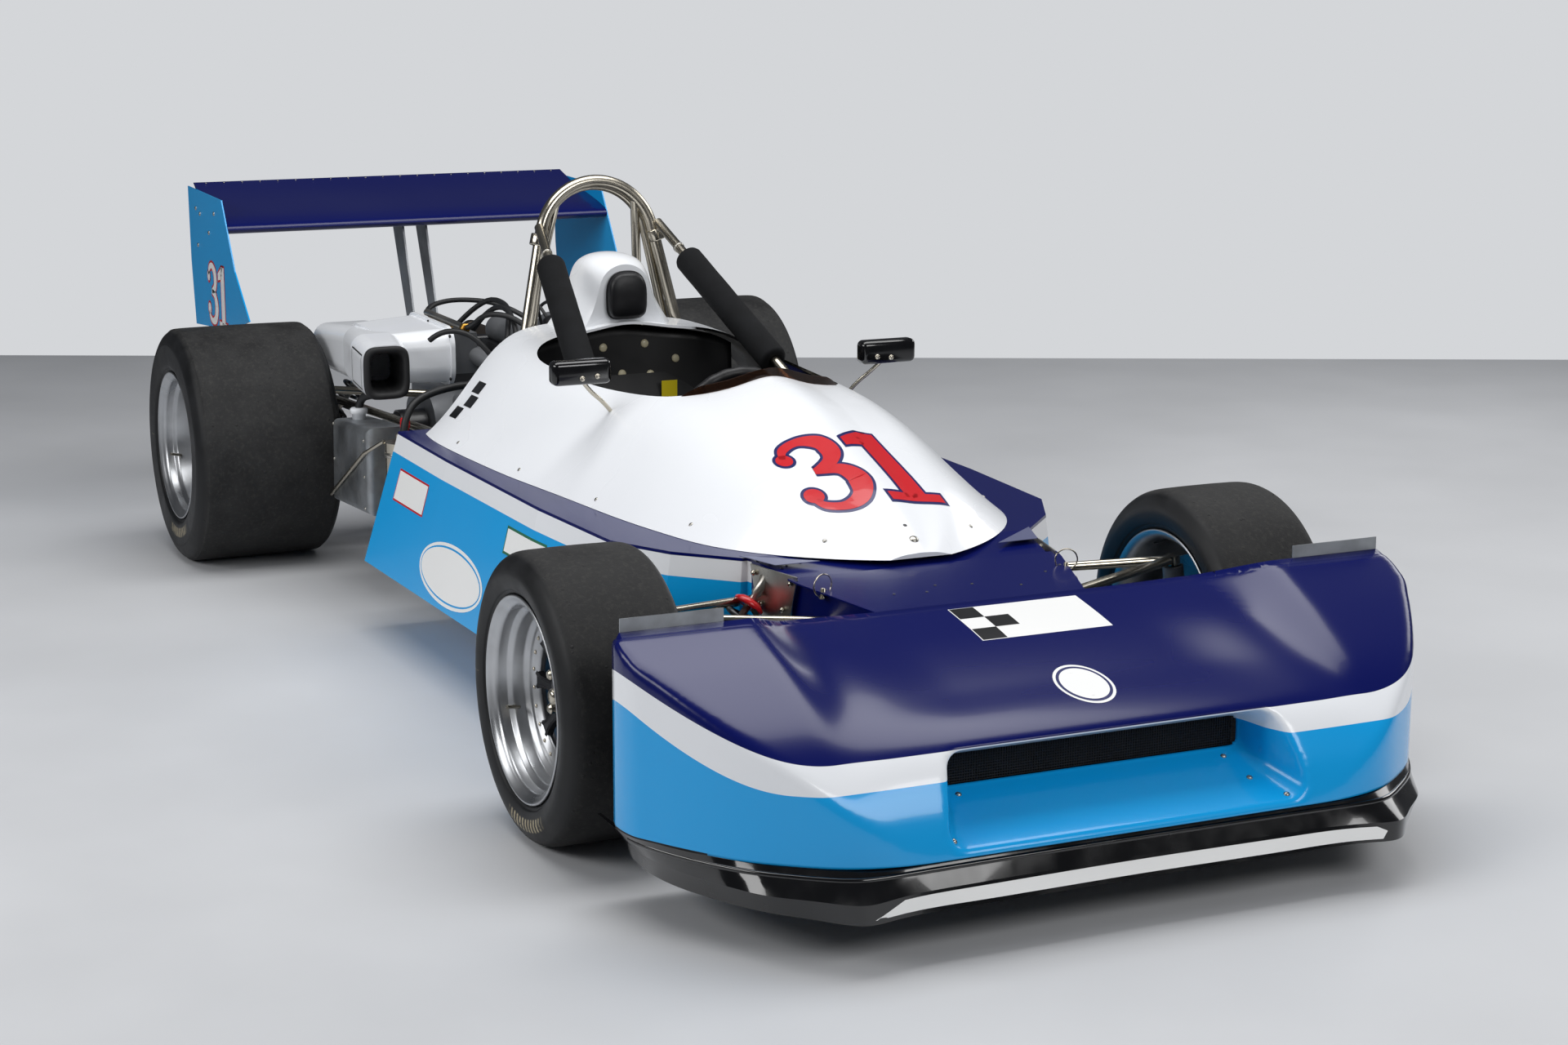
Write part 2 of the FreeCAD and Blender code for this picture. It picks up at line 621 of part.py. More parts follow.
def rim_body(name, end, hand):
    body = doc.addObject("PartDesign::Body", name)
    sketch = body.newObject("Sketcher::SketchObject", name + "_profile")
    plane = [f for f in body.Origin.OriginFeatures if f.Role == "XY_Plane"][0]
    sketch.AttachmentSupport = (plane, [""])
    sketch.MapMode = "FlatFace"
    edge = val(end + "_rim_half")
    big = val("rim_radius")
    profile = [
        (big, edge), (big, edge - 6), (big - 15, edge - 12), (big - 15, 56), (big - 34, 40), (big - 34, -16),
        (big - 15, -34), (big - 15, 12 - edge), (big, 6 - edge), (big, -edge), (big - 6, -edge),
        (big - 20, 16 - edge), (big - 20, -34), (big - 38, -16), (big - 38, 8), (66, 8), (44, 8), (44, 26), (100, 26),
        (120, 32), (big - 40, 36), (big - 40, 46), (big - 30, 48), (big - 30, 72), (big - 20, 74), (big - 20, edge - 14),
        (big - 6, edge),
    ]
    count = len(profile)
    for i in range(count):
        a = profile[i]
        b = profile[(i + 1) % count]
        sketch.addGeometry(Part.LineSegment(V(a[0], a[1], 0), V(b[0], b[1], 0)))
    for i in range(count):
        sketch.addConstraint(Sketcher.Constraint("Coincident", i, 2, (i + 1) % count, 1))
    first = sketch.addConstraint(Sketcher.Constraint("DistanceX", -1, 1, 0, 1, big))
    sketch.setExpression("Constraints[%d]" % first, "sizes.rim_radius")
    second = sketch.addConstraint(Sketcher.Constraint("DistanceY", -1, 1, 0, 1, edge))
    sketch.setExpression("Constraints[%d]" % second, "sizes.%s_rim_half" % end)
    doc.recompute()
    turn = body.newObject("PartDesign::Revolution", name + "_turned")
    turn.Profile = sketch
    turn.ReferenceAxis = (sketch, ["V_Axis"])
    turn.Angle = 360
    body.Tip = turn
    doc.recompute()
    window = body.newObject("Sketcher::SketchObject", name + "_window")
    plane = [f for f in body.Origin.OriginFeatures if f.Role == "XZ_Plane"][0]
    window.AttachmentSupport = (plane, [""])
    window.MapMode = "FlatFace"
    window.addGeometry(Part.Circle(V(0, 96, 0), V(0, 0, 1), 20))
    doc.recompute()
    before = turn.Shape.Volume
    pocket = body.newObject("PartDesign::Pocket", name + "_pocket")
    pocket.Profile = window
    pocket.Type = "ThroughAll"
    pocket.SideType = "Symmetric"
    body.Tip = pocket
    doc.recompute()
    if pocket.Shape.Volume >= before:
        raise RuntimeError("rim window cut nothing")
    pattern = body.newObject("PartDesign::PolarPattern", name + "_windows")
    pattern.Originals = [pocket]
    pattern.Axis = (sketch, ["V_Axis"])
    pattern.Angle = 360
    body.Tip = pattern
    pattern.Occurrences = 8
    doc.recompute()
    turn_z = FreeCAD.Rotation(V(0, 0, 1), 0 if hand > 0 else 180)
    x = axle_x if end == "front" else rear_x
    body.Placement = FreeCAD.Placement(V(x, hand * side_y[end], val(end + "_tyre_radius")), turn_z)
    kept.append(body)
    return body


def turned_body(name, profile, centre, hand, bound):
    body = doc.addObject("PartDesign::Body", name)
    sketch = body.newObject("Sketcher::SketchObject", name + "_profile")
    plane = [f for f in body.Origin.OriginFeatures if f.Role == "XY_Plane"][0]
    sketch.AttachmentSupport = (plane, [""])
    sketch.MapMode = "FlatFace"
    count = len(profile)
    for a, b in zip(profile, profile[1:] + profile[:1]):
        sketch.addGeometry(Part.LineSegment(V(a[0], a[1], 0), V(b[0], b[1], 0)))
    for i in range(count):
        sketch.addConstraint(Sketcher.Constraint("Coincident", i, 2, (i + 1) % count, 1))
    for i, (radius, along) in enumerate(profile):
        if radius > 0:
            across = sketch.addConstraint(Sketcher.Constraint("DistanceX", -1, 1, i, 1, radius))
            if i in bound:
                sketch.setExpression("Constraints[%d]" % across, bound[i])
        else:
            sketch.addConstraint(Sketcher.Constraint("PointOnObject", i, 1, -2))
        sketch.addConstraint(Sketcher.Constraint("DistanceY", -1, 1, i, 1, along))
    doc.recompute()
    turn = body.newObject("PartDesign::Revolution", name + "_turned")
    turn.Profile = sketch
    turn.ReferenceAxis = (sketch, ["V_Axis"])
    turn.Angle = 360
    body.Tip = turn
    body.Placement = FreeCAD.Placement(centre, FreeCAD.Rotation(V(0, 0, 1), 0 if hand > 0 else 180))
    kept.append(body)


def tyre(end, centre, hand):
    big = val(end + "_tyre_radius")
    wide = val(end + "_tyre_half")
    edge = val(end + "_rim_half")
    bead = val("rim_radius") - 15
    tread = wide - 36 if end == "front" else wide - 32
    crown = [
        V(bead + 2, edge - 12.5, 0), V(bead + 16, edge - 7, 0), V(bead + 34, wide - 2, 0), V(big - 38, wide, 0),
        V(big - 12, wide - 12, 0), V(big - 1.5, tread, 0), V(big, tread * 0.4, 0), V(big, 0, 0),
    ]
    other = [V(p.x, -p.y, 0) for p in reversed(crown[:-1])]
    outside = spline(crown + other)
    core = V(bead + 2, edge - 12.5, 0)
    low = V(bead + 0.4, edge - 14, 0)
    inner = [low, V(bead + 0.4, edge - 26, 0), V(bead + 14, edge - 30, 0), V(big - 16, wide - 24, 0)]
    inner += [V(p.x, -p.y, 0) for p in reversed(inner)]
    lines = [Part.makeLine(core, low)]
    for a, b in zip(inner, inner[1:]):
        lines.append(Part.makeLine(a, b))
    lines.append(Part.makeLine(inner[-1], V(core.x, -core.y, 0)))
    face = Part.Face(Part.Wire(Part.__sortEdges__([outside] + lines)))
    made = face.revolve(V(0, 0, 0), V(0, 1, 0), 360)
    made.translate(centre)
    return made


gap = val("hub_gap")
stub = val("stub_radius")
disc_r = val("disc_radius")
disc_h = val("disc_half")
hub_in = {"front": -46.0, "rear": -84.0}
disc_at = {"front": -31.0, "rear": -58.0}
for end in ("front", "rear"):
    for word, hand in (("left", 1), ("right", -1)):
        x = axle_x if end == "front" else rear_x
        centre = V(x, hand * side_y[end], val(end + "_tyre_radius"))
        rim_body("%s_rim_%s" % (end, word), end, hand)
        piece("%s_tyre_%s" % (end, word), tyre(end, centre, hand))
        bore = stub + gap if end == "front" else 0.0
        mid = disc_at[end]
        ring = [
            (bore, hub_in[end]), (34, hub_in[end]), (34, 7.5), (56, 7.5), (56, mid - disc_h), (disc_r, mid - disc_h),
            (disc_r, mid + disc_h), (62, mid + disc_h), (62, 8), (43.5, 8), (43.5, 40), (bore, 40),
        ]
        bound = {5: "sizes.disc_radius", 6: "sizes.disc_radius"}
        if end == "front":
            bound[0] = "sizes.stub_radius + sizes.hub_gap"
            bound[11] = "sizes.stub_radius + sizes.hub_gap"
        turned_body("%s_hub_%s" % (end, word), ring, centre, hand, bound)

# Front uprights, turned about the kingpin, with stub axle, calliper and steering arm
pin_lean = math.radians(val("kingpin_lean"))
pin_y = side_y["front"] - val("kingpin_offset")
wheel_z = val("front_tyre_radius")
pin_axis = V(0, -math.sin(pin_lean), math.cos(pin_lean))


def on_pin(height):
    return at(0, pin_y, wheel_z) + pin_axis * (height / math.cos(pin_lean))


top_joint = on_pin(112)
low_joint = on_pin(-106)
post = rod(low_joint, top_joint, 20)
web = prism(
    [at(0, pin_y - 12, wheel_z + up) + V(along_x, 0, 0) for along_x, up in ((-36, -78), (36, -78), (36, 80), (-36, 80))],
    V(0, 24, 0),
)
axle_stub = rod(at(0, pin_y, wheel_z), at(0, side_y["front"] + 34, wheel_z), stub)
arm_z = rack_z
arm_y = pin_y + (wheel_z - arm_z) * math.tan(pin_lean)
pin_at = at(rack_x, arm_y, arm_z)
arm = prism(
    [at(20, arm_y - 10, arm_z - 7), at(rack_x, arm_y - 10, arm_z - 7), at(rack_x, arm_y + 10, arm_z - 7), at(20, arm_y + 10, arm_z - 7)],
    V(0, 0, 14),
)
disc_y = side_y["front"] + disc_at["front"]
calliper = Part.makeBox(48, 56, 86, at(0, disc_y - 30, wheel_z - 43) + V(-128, 0, 0))
calliper = calliper.common(rod(at(0, 0, wheel_z), at(0, 900, wheel_z), 137))
calliper = calliper.cut(rod(at(0, disc_y - disc_h - 5, wheel_z), at(0, disc_y + disc_h + 5, wheel_z), disc_r + 5))
lug = Part.makeBox(94, 24, 30, at(0, pin_y + 4, wheel_z - 15) + V(-120, 0, 0))
lug = lug.cut(rod(at(0, pin_y + 12.5, wheel_z), at(0, 900, wheel_z), 42))
upright = fused([post, web, axle_stub, lug])
upright = upright.cut(rod(top_joint - pin_axis * 22, top_joint + pin_axis * 10, 7 + val("fit_gap")))
upright = upright.cut(rod(low_joint + pin_axis * 22, low_joint - pin_axis * 10, 7 + val("fit_gap")))
arm_pin = rod(pin_at + V(0, 0, -26), pin_at + V(0, 0, 8), val("pin_radius"))
arm_raised = arm.copy()
arm_raised.translate(V(0, 0, 14))
both("front_upright", fused([upright, calliper, arm_raised, arm_pin]))

# Rack and track rods, eyes round the arm pins
eye_bore = val("pin_radius") + val("pin_gap")
rack = rod(at(rack_x, -205, rack_z), at(rack_x, 205, rack_z), 12)
eye = Part.makeCylinder(eye_bore + 6, 10, V(pin_at.x, pin_at.y, arm_z - 17))
eye_hole = Part.makeCylinder(eye_bore, 30, V(pin_at.x, pin_at.y, arm_z - 27))
track_rod = rod(at(rack_x, 195, rack_z), V(pin_at.x, pin_at.y - eye_bore - 3, arm_z - 12), 7)
rack_whole = fused([rack, track_rod, mirrored(track_rod), eye, mirrored(eye)])
rack_whole = rack_whole.cut(eye_hole).cut(mirrored(eye_hole))
piece("steering_rack", rack_whole)
housing = rod(at(rack_x, -196, rack_z), at(rack_x, 196, rack_z), 22)
housing = housing.cut(rod(at(rack_x, -300, rack_z), at(rack_x, 300, rack_z), 12.3))
foot = block(rack_x - 14, rack_x + 14, -160, 160, 90, rack_z - 18).cut(tub)
foot = max(foot.Solids, key=lambda solid: solid.Volume)
housing = housing.fuse(foot.cut(rod(at(rack_x, -300, rack_z), at(rack_x, 300, rack_z), 20)))
piece("steering_mounts", Part.Compound(housing.Solids + [column_bearing]))

# Front wishbones and spring units
top_eye = rod(top_joint + pin_axis * 3, top_joint + pin_axis * 21, 15)
top_pin = rod(top_joint - pin_axis * 16, top_joint + pin_axis * 6, 7)
top_arms = [
    rod(top_joint + pin_axis * 12, at(128, 240, 372), 9),
    rod(top_joint + pin_axis * 12, at(-72, 284, 372), 9),
]
low_eye = rod(low_joint - pin_axis * 3, low_joint - pin_axis * 21, 15)
low_pin = rod(low_joint + pin_axis * 16, low_joint - pin_axis * 6, 7)
low_arms = [
    rod(low_joint - pin_axis * 12, at(150, 222, 132), 10),
    rod(low_joint - pin_axis * 12, at(-84, 288, 132), 10),
]
wishbones = fused([top_eye, top_pin] + top_arms)
lower_bone = fused([low_eye, low_pin] + low_arms)
pair("front_wishbones", Part.Compound(wishbones.cut(tub).Solids + lower_bone.cut(tub).Solids))


def spring_unit(low, high, spring_r):
    line = (high - low).normalize()
    length = (high - low).Length
    return fused(
        [
            rod(low, low + line * (length * 0.5), 20),
            rod(low, high, 9),
            rod(low + line * (length * 0.22), low + line * (length * 0.80), spring_r),
            rod(low + line * (length * 0.80), low + line * (length * 0.86), spring_r + 6),
        ]
    )


front_spring = spring_unit(at(-14, pin_y - 69, 150), at(-40, 268, 424), 30)
pair("front_springs", front_spring.cut(tub).cut(lower_bone).cut(wishbones))

# Engine
crankcase = block(-2100, -1600, -130, 130, 120, 400)
crankcase = crankcase.makeFillet(12, [e for e in crankcase.Edges if abs(e.tangentAt(e.FirstParameter).x) > 0.9])
engine = [
    crankcase,
    prism([at(-2080, -92, 400), at(-2080, 60, 400), at(-2080, 92, 560), at(-2080, -112, 560)], V(440, 0, 0)),
    block(-1602, drawn_tub - 0.6, 60, 120, 150, 210),
    block(-1602, drawn_tub - 0.6, -120, -60, 150, 210),
]
piece("engine_block", fused(engine))
cam = Part.makeCylinder(34, 430, at(-2075, 66, 582), V(1, 0, 0))
cam2 = Part.makeCylinder(34, 430, at(-2075, -66, 582), V(1, 0, 0))
covers = cam.fuse(cam2).fuse(block(-2070, -1650, -66, 66, 561, 588))
covers = covers.cut(block(-2200, -1500, -200, 200, 400, 560.3))
piece("cam_covers", covers)

# Intake box on the right, mouth facing forward
def box_ring(x, y1, y2, z1, z2, round_by, inset=0.0):
    return soft_ring(lambda a, b: at(x, a, b), y1 + inset, y2 - inset, z1 + inset, z2 - inset, round_by - inset)


def side_ring(y, x1, x2, z1, z2, round_by):
    return soft_ring(lambda a, b: at(a, y, b), x1, x2, z1, z2, round_by)


box_stations = [
    (-1780, -498, -386, 478, 604, 36), (-1960, -474, -346, 474, 606, 36), (-2150, -436, -284, 466, 598, 36),
    (-2440, -430, -266, 458, 568, 36),
]
airbox_out = Part.makeLoft([box_ring(*station) for station in box_stations], True, True)
airbox_in = Part.makeLoft([box_ring(*station, inset=6.0) for station in box_stations[:-1]], True, True)
plenum = Part.makeLoft([side_ring(-400, -2200, -1905, 488, 604, 40), side_ring(-252, -2210, -1882, 484, 614, 44)], True, True)
flange = Part.makeLoft([side_ring(-253, -2218, -1874, 478, 620, 46), side_ring(-243, -2218, -1874, 478, 620, 46)], True, True)
airbox = airbox_out.fuse(plenum).fuse(flange).cut(airbox_in)
piece("airbox", airbox.removeSplitter())
lip_out = Part.makeLoft([box_ring(-1768, -494, -390, 482, 600, 32), box_ring(-1779.5, -497, -387, 479, 603, 35)], True, True)
lip_in = Part.makeLoft([box_ring(-1760, -484, -400, 492, 590, 24), box_ring(-1790, -484, -400, 492, 590, 24)], True, True)
intake_lip = lip_out.cut(lip_in)
piece("intake_lip", intake_lip)
runners = []
for step in range(4):
    outer = at(-1925 - step * 75, -200, 556)
    runners.append(rod(outer, at(-1735 - step * 100, -84, 500), 22))
engine_whole = fused(engine).fuse(covers)
carbs = [block(-2030, -1890, -242.5, -184, 508, 604), block(-2185, -2045, -242.5, -184, 508, 604)]
runners = fused(runners + carbs + [block(-2185, -1890, -206, -186, 530, 580)])
piece("inlet_runners", runners.cut(engine_whole))

# Exhaust on the left
primary = []
for step in range(4):
    x = -1700 - step * 100
    primary.append(pipe([at(x, 60, 470), at(x, 190, 470), at(x - 60, 250, 400), at(x - 140, 258, 330)], 19, 45))
collector = rod(at(-1800, 262, 330), at(-2070, 262, 330), 34)
tail = pipe([at(-2060, 262, 330), at(-2150, 262, 330), at(-2330, 176, 438), at(-3000, 170, 438)], 30, 120)
piece("exhaust", fused(primary + [collector, tail]).cut(fused(engine)))

# Bellhousing and gearbox
bell = Part.makeCone(150, 105, 190, at(-2100.6, 0, 262), V(-1, 0, 0))
case = block(-2700, -2290, -96, 96, 150, 372)
case = case.makeFillet(22, [e for e in case.Edges if abs(e.tangentAt(e.FirstParameter).x) > 0.9])
tail_case = Part.makeCone(92, 66, 150, at(-2700, 0, 262), V(-1, 0, 0))
cheek = Part.makeCylinder(88, 300, at(-drawn_base, -150, 288.5), V(0, 1, 0))
flange_ring = Part.makeCylinder(118, 14, at(-2283, 0, 262), V(-1, 0, 0))
side_ribs = [block(-2680, -2500, -104, 104, z, z + 6) for z in (200, 240, 280, 320)]
gearbox = fused([bell, case, tail_case, cheek, flange_ring] + side_ribs)
piece("gearbox", gearbox)

# Oil and catch tanks
tank = prism(
    [at(-1752, -396, 212), at(-2059, -396, 194), at(-2044, -396, 394), at(-1752, -396, 418)],
    V(0, -104, 0),
)
tank = tank.makeFillet(16, [e for e in tank.Edges if e.Length > 150])
piece("oil_tank", tank)
catch = Part.makeCylinder(44, 190, at(-1660, -440, 210))
catch = catch.fuse(Part.makeCylinder(20, 18, at(-1660, -440, 400)))
catch = catch.fuse(block(drawn_tub, -1630, -452, -428, 250, 268))
tank_strap = block(-1760, -1690, -452, -428, 300, 312)
piece("catch_tank", catch.fuse(tank_strap).cut(tank))

# Rear uprights, links, springs and driveshafts
rear_z = val("rear_tyre_radius")
ry = side_y["rear"]
inner_y = ry + hub_in["rear"]
rear_ring = rod(at(-drawn_base, inner_y - 66, rear_z), at(-drawn_base, inner_y - 6, rear_z), 46)
rear_plate = block(-2438, -2388, inner_y - 60, inner_y - 12, rear_z - 140, rear_z + 140)
rear_lug = block(-2413 + 22, -2413 + 122, inner_y - 34, inner_y + 4, rear_z - 16, rear_z + 16)
rear_lug = rear_lug.cut(rod(at(-drawn_base, 0, rear_z), at(-drawn_base, 900, rear_z), 40))
upper_ear = block(-2438, -2372, 412, inner_y - 40, rear_z + 96, rear_z + 116)
lower_ear = block(-2438, -2372, 412, inner_y - 40, rear_z - 116, rear_z - 96)
spring_ear = block(-2516, -2430, 462, inner_y - 30, 176, 214)
rear_upright = fused([rear_ring, rear_plate, rear_lug, upper_ear, lower_ear, spring_ear])
rear_upright = rear_upright.cut(rod(at(-drawn_base, 0, rear_z), at(-drawn_base, 900, rear_z), 26 + gap))
rdisc_y = ry + disc_at["rear"]
rear_cal = Part.makeBox(46, 58, 80, at(-drawn_base, rdisc_y - 34, rear_z - 40) + V(82, 0, 0))
rear_cal = rear_cal.common(rod(at(-drawn_base, 0, rear_z), at(-drawn_base, 900, rear_z), 137))
rear_cal = rear_cal.cut(rod(at(-drawn_base, rdisc_y - disc_h - 5, rear_z), at(-drawn_base, rdisc_y + disc_h + 5, rear_z), disc_r + 5))
pair("rear_uprights", rear_upright.fuse(rear_cal))
shaft_out = rod(at(-drawn_base, inner_y - 80, rear_z), at(-drawn_base, inner_y, rear_z), 26)
cup = rod(at(-drawn_base, inner_y - 150, rear_z), at(-drawn_base, inner_y - 76, rear_z), 44)
mid_shaft = rod(at(-drawn_base, 200, rear_z), at(-drawn_base, inner_y - 100, rear_z), 15)
inner_cup = rod(at(-drawn_base, 156, rear_z), at(-drawn_base, 226, rear_z), 48)
both("driveshaft", fused([shaft_out, cup, mid_shaft, inner_cup]))
knuckle_top = at(-drawn_base, inner_y - 36, rear_z + 124)
knuckle_low = at(-drawn_base, inner_y - 36, rear_z - 124)
links = fused(
    [
        rod(knuckle_top, at(-drawn_base, 96, 368), 10),
        rod(at(-2386, 424, rear_z + 106), at(-1556, 330, 405), 10),
        rod(knuckle_low, at(-2340, 90, 175), 11),
        rod(knuckle_low, at(-2560, 90, 175), 11),
        rod(at(-2386, 424, rear_z - 106), at(-1556, 372, 150), 10),
    ]
)
pair("rear_links", links.cut(rear_upright).cut(tub).cut(gearbox))
rear_spring = spring_unit(at(-2502, 470, 190), at(-2502, 230, 490), 32)
pair("rear_springs", rear_spring.cut(rear_upright).cut(links))
beam = rod(at(-2502, -250, 490), at(-2502, 250, 490), 14)
beam = beam.fuse(block(-2520, -2484, -60, 60, 372, 492))
beam = beam.cut(rear_spring).cut(mirrored(rear_spring))
piece("rear_beam", max(beam.Solids, key=lambda solid: solid.Volume))


# Rear wing: plane, end plates and post
def foil(chord, count=12):
    upper_side = []
    lower_side = []
    for i in range(count + 1):
        t = (1 - math.cos(math.pi * i / count)) / 2
        thickness = 0.6 * (0.2969 * math.sqrt(t) - 0.126 * t - 0.3516 * t * t + 0.2843 * t ** 3 - 0.1015 * t ** 4)
        camber = -0.34 * t * (1 - t) * 0.5
        upper_side.append((t * chord, (camber + thickness) * chord))
        lower_side.append((t * chord, (camber - thickness) * chord))
    return upper_side, lower_side


upper_side, lower_side = foil(val("wing_chord"))
tilt = math.radians(14)
lead = (-2868.0, 762.0)


def foil_point(p):
    x = lead[0] - p[0] * math.cos(tilt) + p[1] * math.sin(tilt)
    z = lead[1] + p[0] * math.sin(tilt) + p[1] * math.cos(tilt)
    return at(x, -val("wing_half") + 2, z)


top_curve = spline([foil_point(p) for p in upper_side])
low_curve = spline([foil_point(p) for p in reversed(lower_side)])
tail_line = Part.makeLine(foil_point(upper_side[-1]), foil_point(lower_side[-1]))
wing = Part.Face(Part.Wire([top_curve, tail_line, low_curve])).extrude(V(0, 2 * val("wing_half") - 4, 0))
piece("wing_plane", wing)
plate_outline = [(-3293, 842), (-2920, 836), (-2800, 660), (-2664, 548), (-2850, 500), (-3255, 466), (-3285, 640)]
plate = prism([at(x, val("wing_half") - 2, z) for x, z in plate_outline], V(0, val("plate_thick"), 0))
pair("wing_plates", plate)
post = prism([at(-2790, 30, 300), at(-2835, 30, 300), at(-3060, 30, 800), at(-2960, 30, 790)], V(0, 5, 0))
posts = post.fuse(mirrored(post)).fuse(block(-2836, -2790, -35, 35, 300, 330))
boss = rod(at(-2860, -35, 420), at(-2860, 35, 420), val("boss_bore") + 8)
boss_hole = rod(at(-2860, -60, 420), at(-2860, 60, 420), val("boss_bore"))
piece("wing_post", posts.fuse(boss).cut(boss_hole).cut(wing).cut(tail_case))

doc.recompute()
for old in os.listdir("parts"):
    if old.endswith(".step"):
        os.remove(os.path.join("parts", old))
for made in doc.Objects:
    if "Invalid" in made.State or "Error" in made.State:
        raise RuntimeError(made.Label + " failed: " + str(made.State))
for made in kept:
    if made.Shape.isNull() or not made.Shape.isValid():
        raise RuntimeError(made.Label + " has a bad shape")
    if len(made.Shape.Solids) < 1:
        raise RuntimeError(made.Label + " has no solid")
    made.Shape.exportStep("parts/" + made.Label + ".step")
    print(made.Label, len(made.Shape.Solids), round(made.Shape.Volume / 1e6, 3))
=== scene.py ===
import math

import bmesh
import bpy
from mathutils import Matrix, Vector
from mathutils.bvhtree import BVHTree


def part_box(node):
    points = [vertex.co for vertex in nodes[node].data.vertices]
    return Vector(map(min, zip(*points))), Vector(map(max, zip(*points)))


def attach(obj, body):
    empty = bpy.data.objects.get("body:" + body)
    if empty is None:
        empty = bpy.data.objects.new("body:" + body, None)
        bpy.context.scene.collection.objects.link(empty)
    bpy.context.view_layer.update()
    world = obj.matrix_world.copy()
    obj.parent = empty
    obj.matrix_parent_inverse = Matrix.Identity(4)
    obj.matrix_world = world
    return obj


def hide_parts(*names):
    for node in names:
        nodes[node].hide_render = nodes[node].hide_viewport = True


# Frame: metres, +X to the nose, +Y to the car's left, +Z up
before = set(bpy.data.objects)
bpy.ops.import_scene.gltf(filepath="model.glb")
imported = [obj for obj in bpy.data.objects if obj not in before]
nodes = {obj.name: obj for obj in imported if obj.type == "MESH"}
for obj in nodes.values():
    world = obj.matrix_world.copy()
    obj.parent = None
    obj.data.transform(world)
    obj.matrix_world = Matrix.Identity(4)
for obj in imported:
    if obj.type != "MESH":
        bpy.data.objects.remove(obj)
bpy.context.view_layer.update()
FRONT_AXLE = 1.246
WHEELBASE = 2.413
REAR_AXLE = FRONT_AXLE - WHEELBASE
SIDES = ((-1, "right"), (1, "left"))


def spot(x, y, z):
    """A place in millimetres from the front axle's centre line, turned to metres in the frame."""
    return Vector((FRONT_AXLE + x / 1000, y / 1000, z / 1000))


def on_side(hand, places):
    """Places in millimetres for the car's left, mirrored to its right where hand is -1."""
    return [spot(x, hand * y, z) for x, y, z in places]


# Materials
BLUE = "#0ba0e4"
NAVY = "#050f55"
WHITE = "#eceef1"
DUST = "#8f959b"
PAINT_EDGE = 0.00025
COLOURS = {"data_type": "RGBA"}
TIMES = {"operation": "MULTIPLY"}
MINUS = {"operation": "SUBTRACT"}
HIGHER = {"operation": "MAXIMUM"}
UNSIGNED = {"operation": "ABSOLUTE"}


def linear(code):
    """sRGB hex value to linear colour."""
    parts = [int(code[i:i + 2], 16) / 255 for i in (1, 3, 5)]
    return tuple(c / 12.92 if c <= 0.04045 else ((c + 0.055) / 1.055) ** 2.4 for c in parts) + (1.0,)


# Sockets by number: Map Range takes its value at 0, where it starts and ends at 1 and 2, and what it gives
# there at 3 and 4; Mix takes its share at 0 and two colours at 6 and 7, and gives a colour at output 2
def add(tree, kind, sockets=None, settings=None):
    """Adds a node with its settings; a socket takes a value, another socket or a node's first output."""
    made = tree.nodes.new(kind)
    for word, value in (settings or {}).items():
        setattr(made, word, value)
    for socket, source in (sockets or {}).items():
        if isinstance(source, bpy.types.Node):
            source = source.outputs[0]
        if isinstance(source, bpy.types.NodeSocket):
            tree.links.new(source, made.inputs[socket])
        else:
            made.inputs[socket].default_value = source
    return made


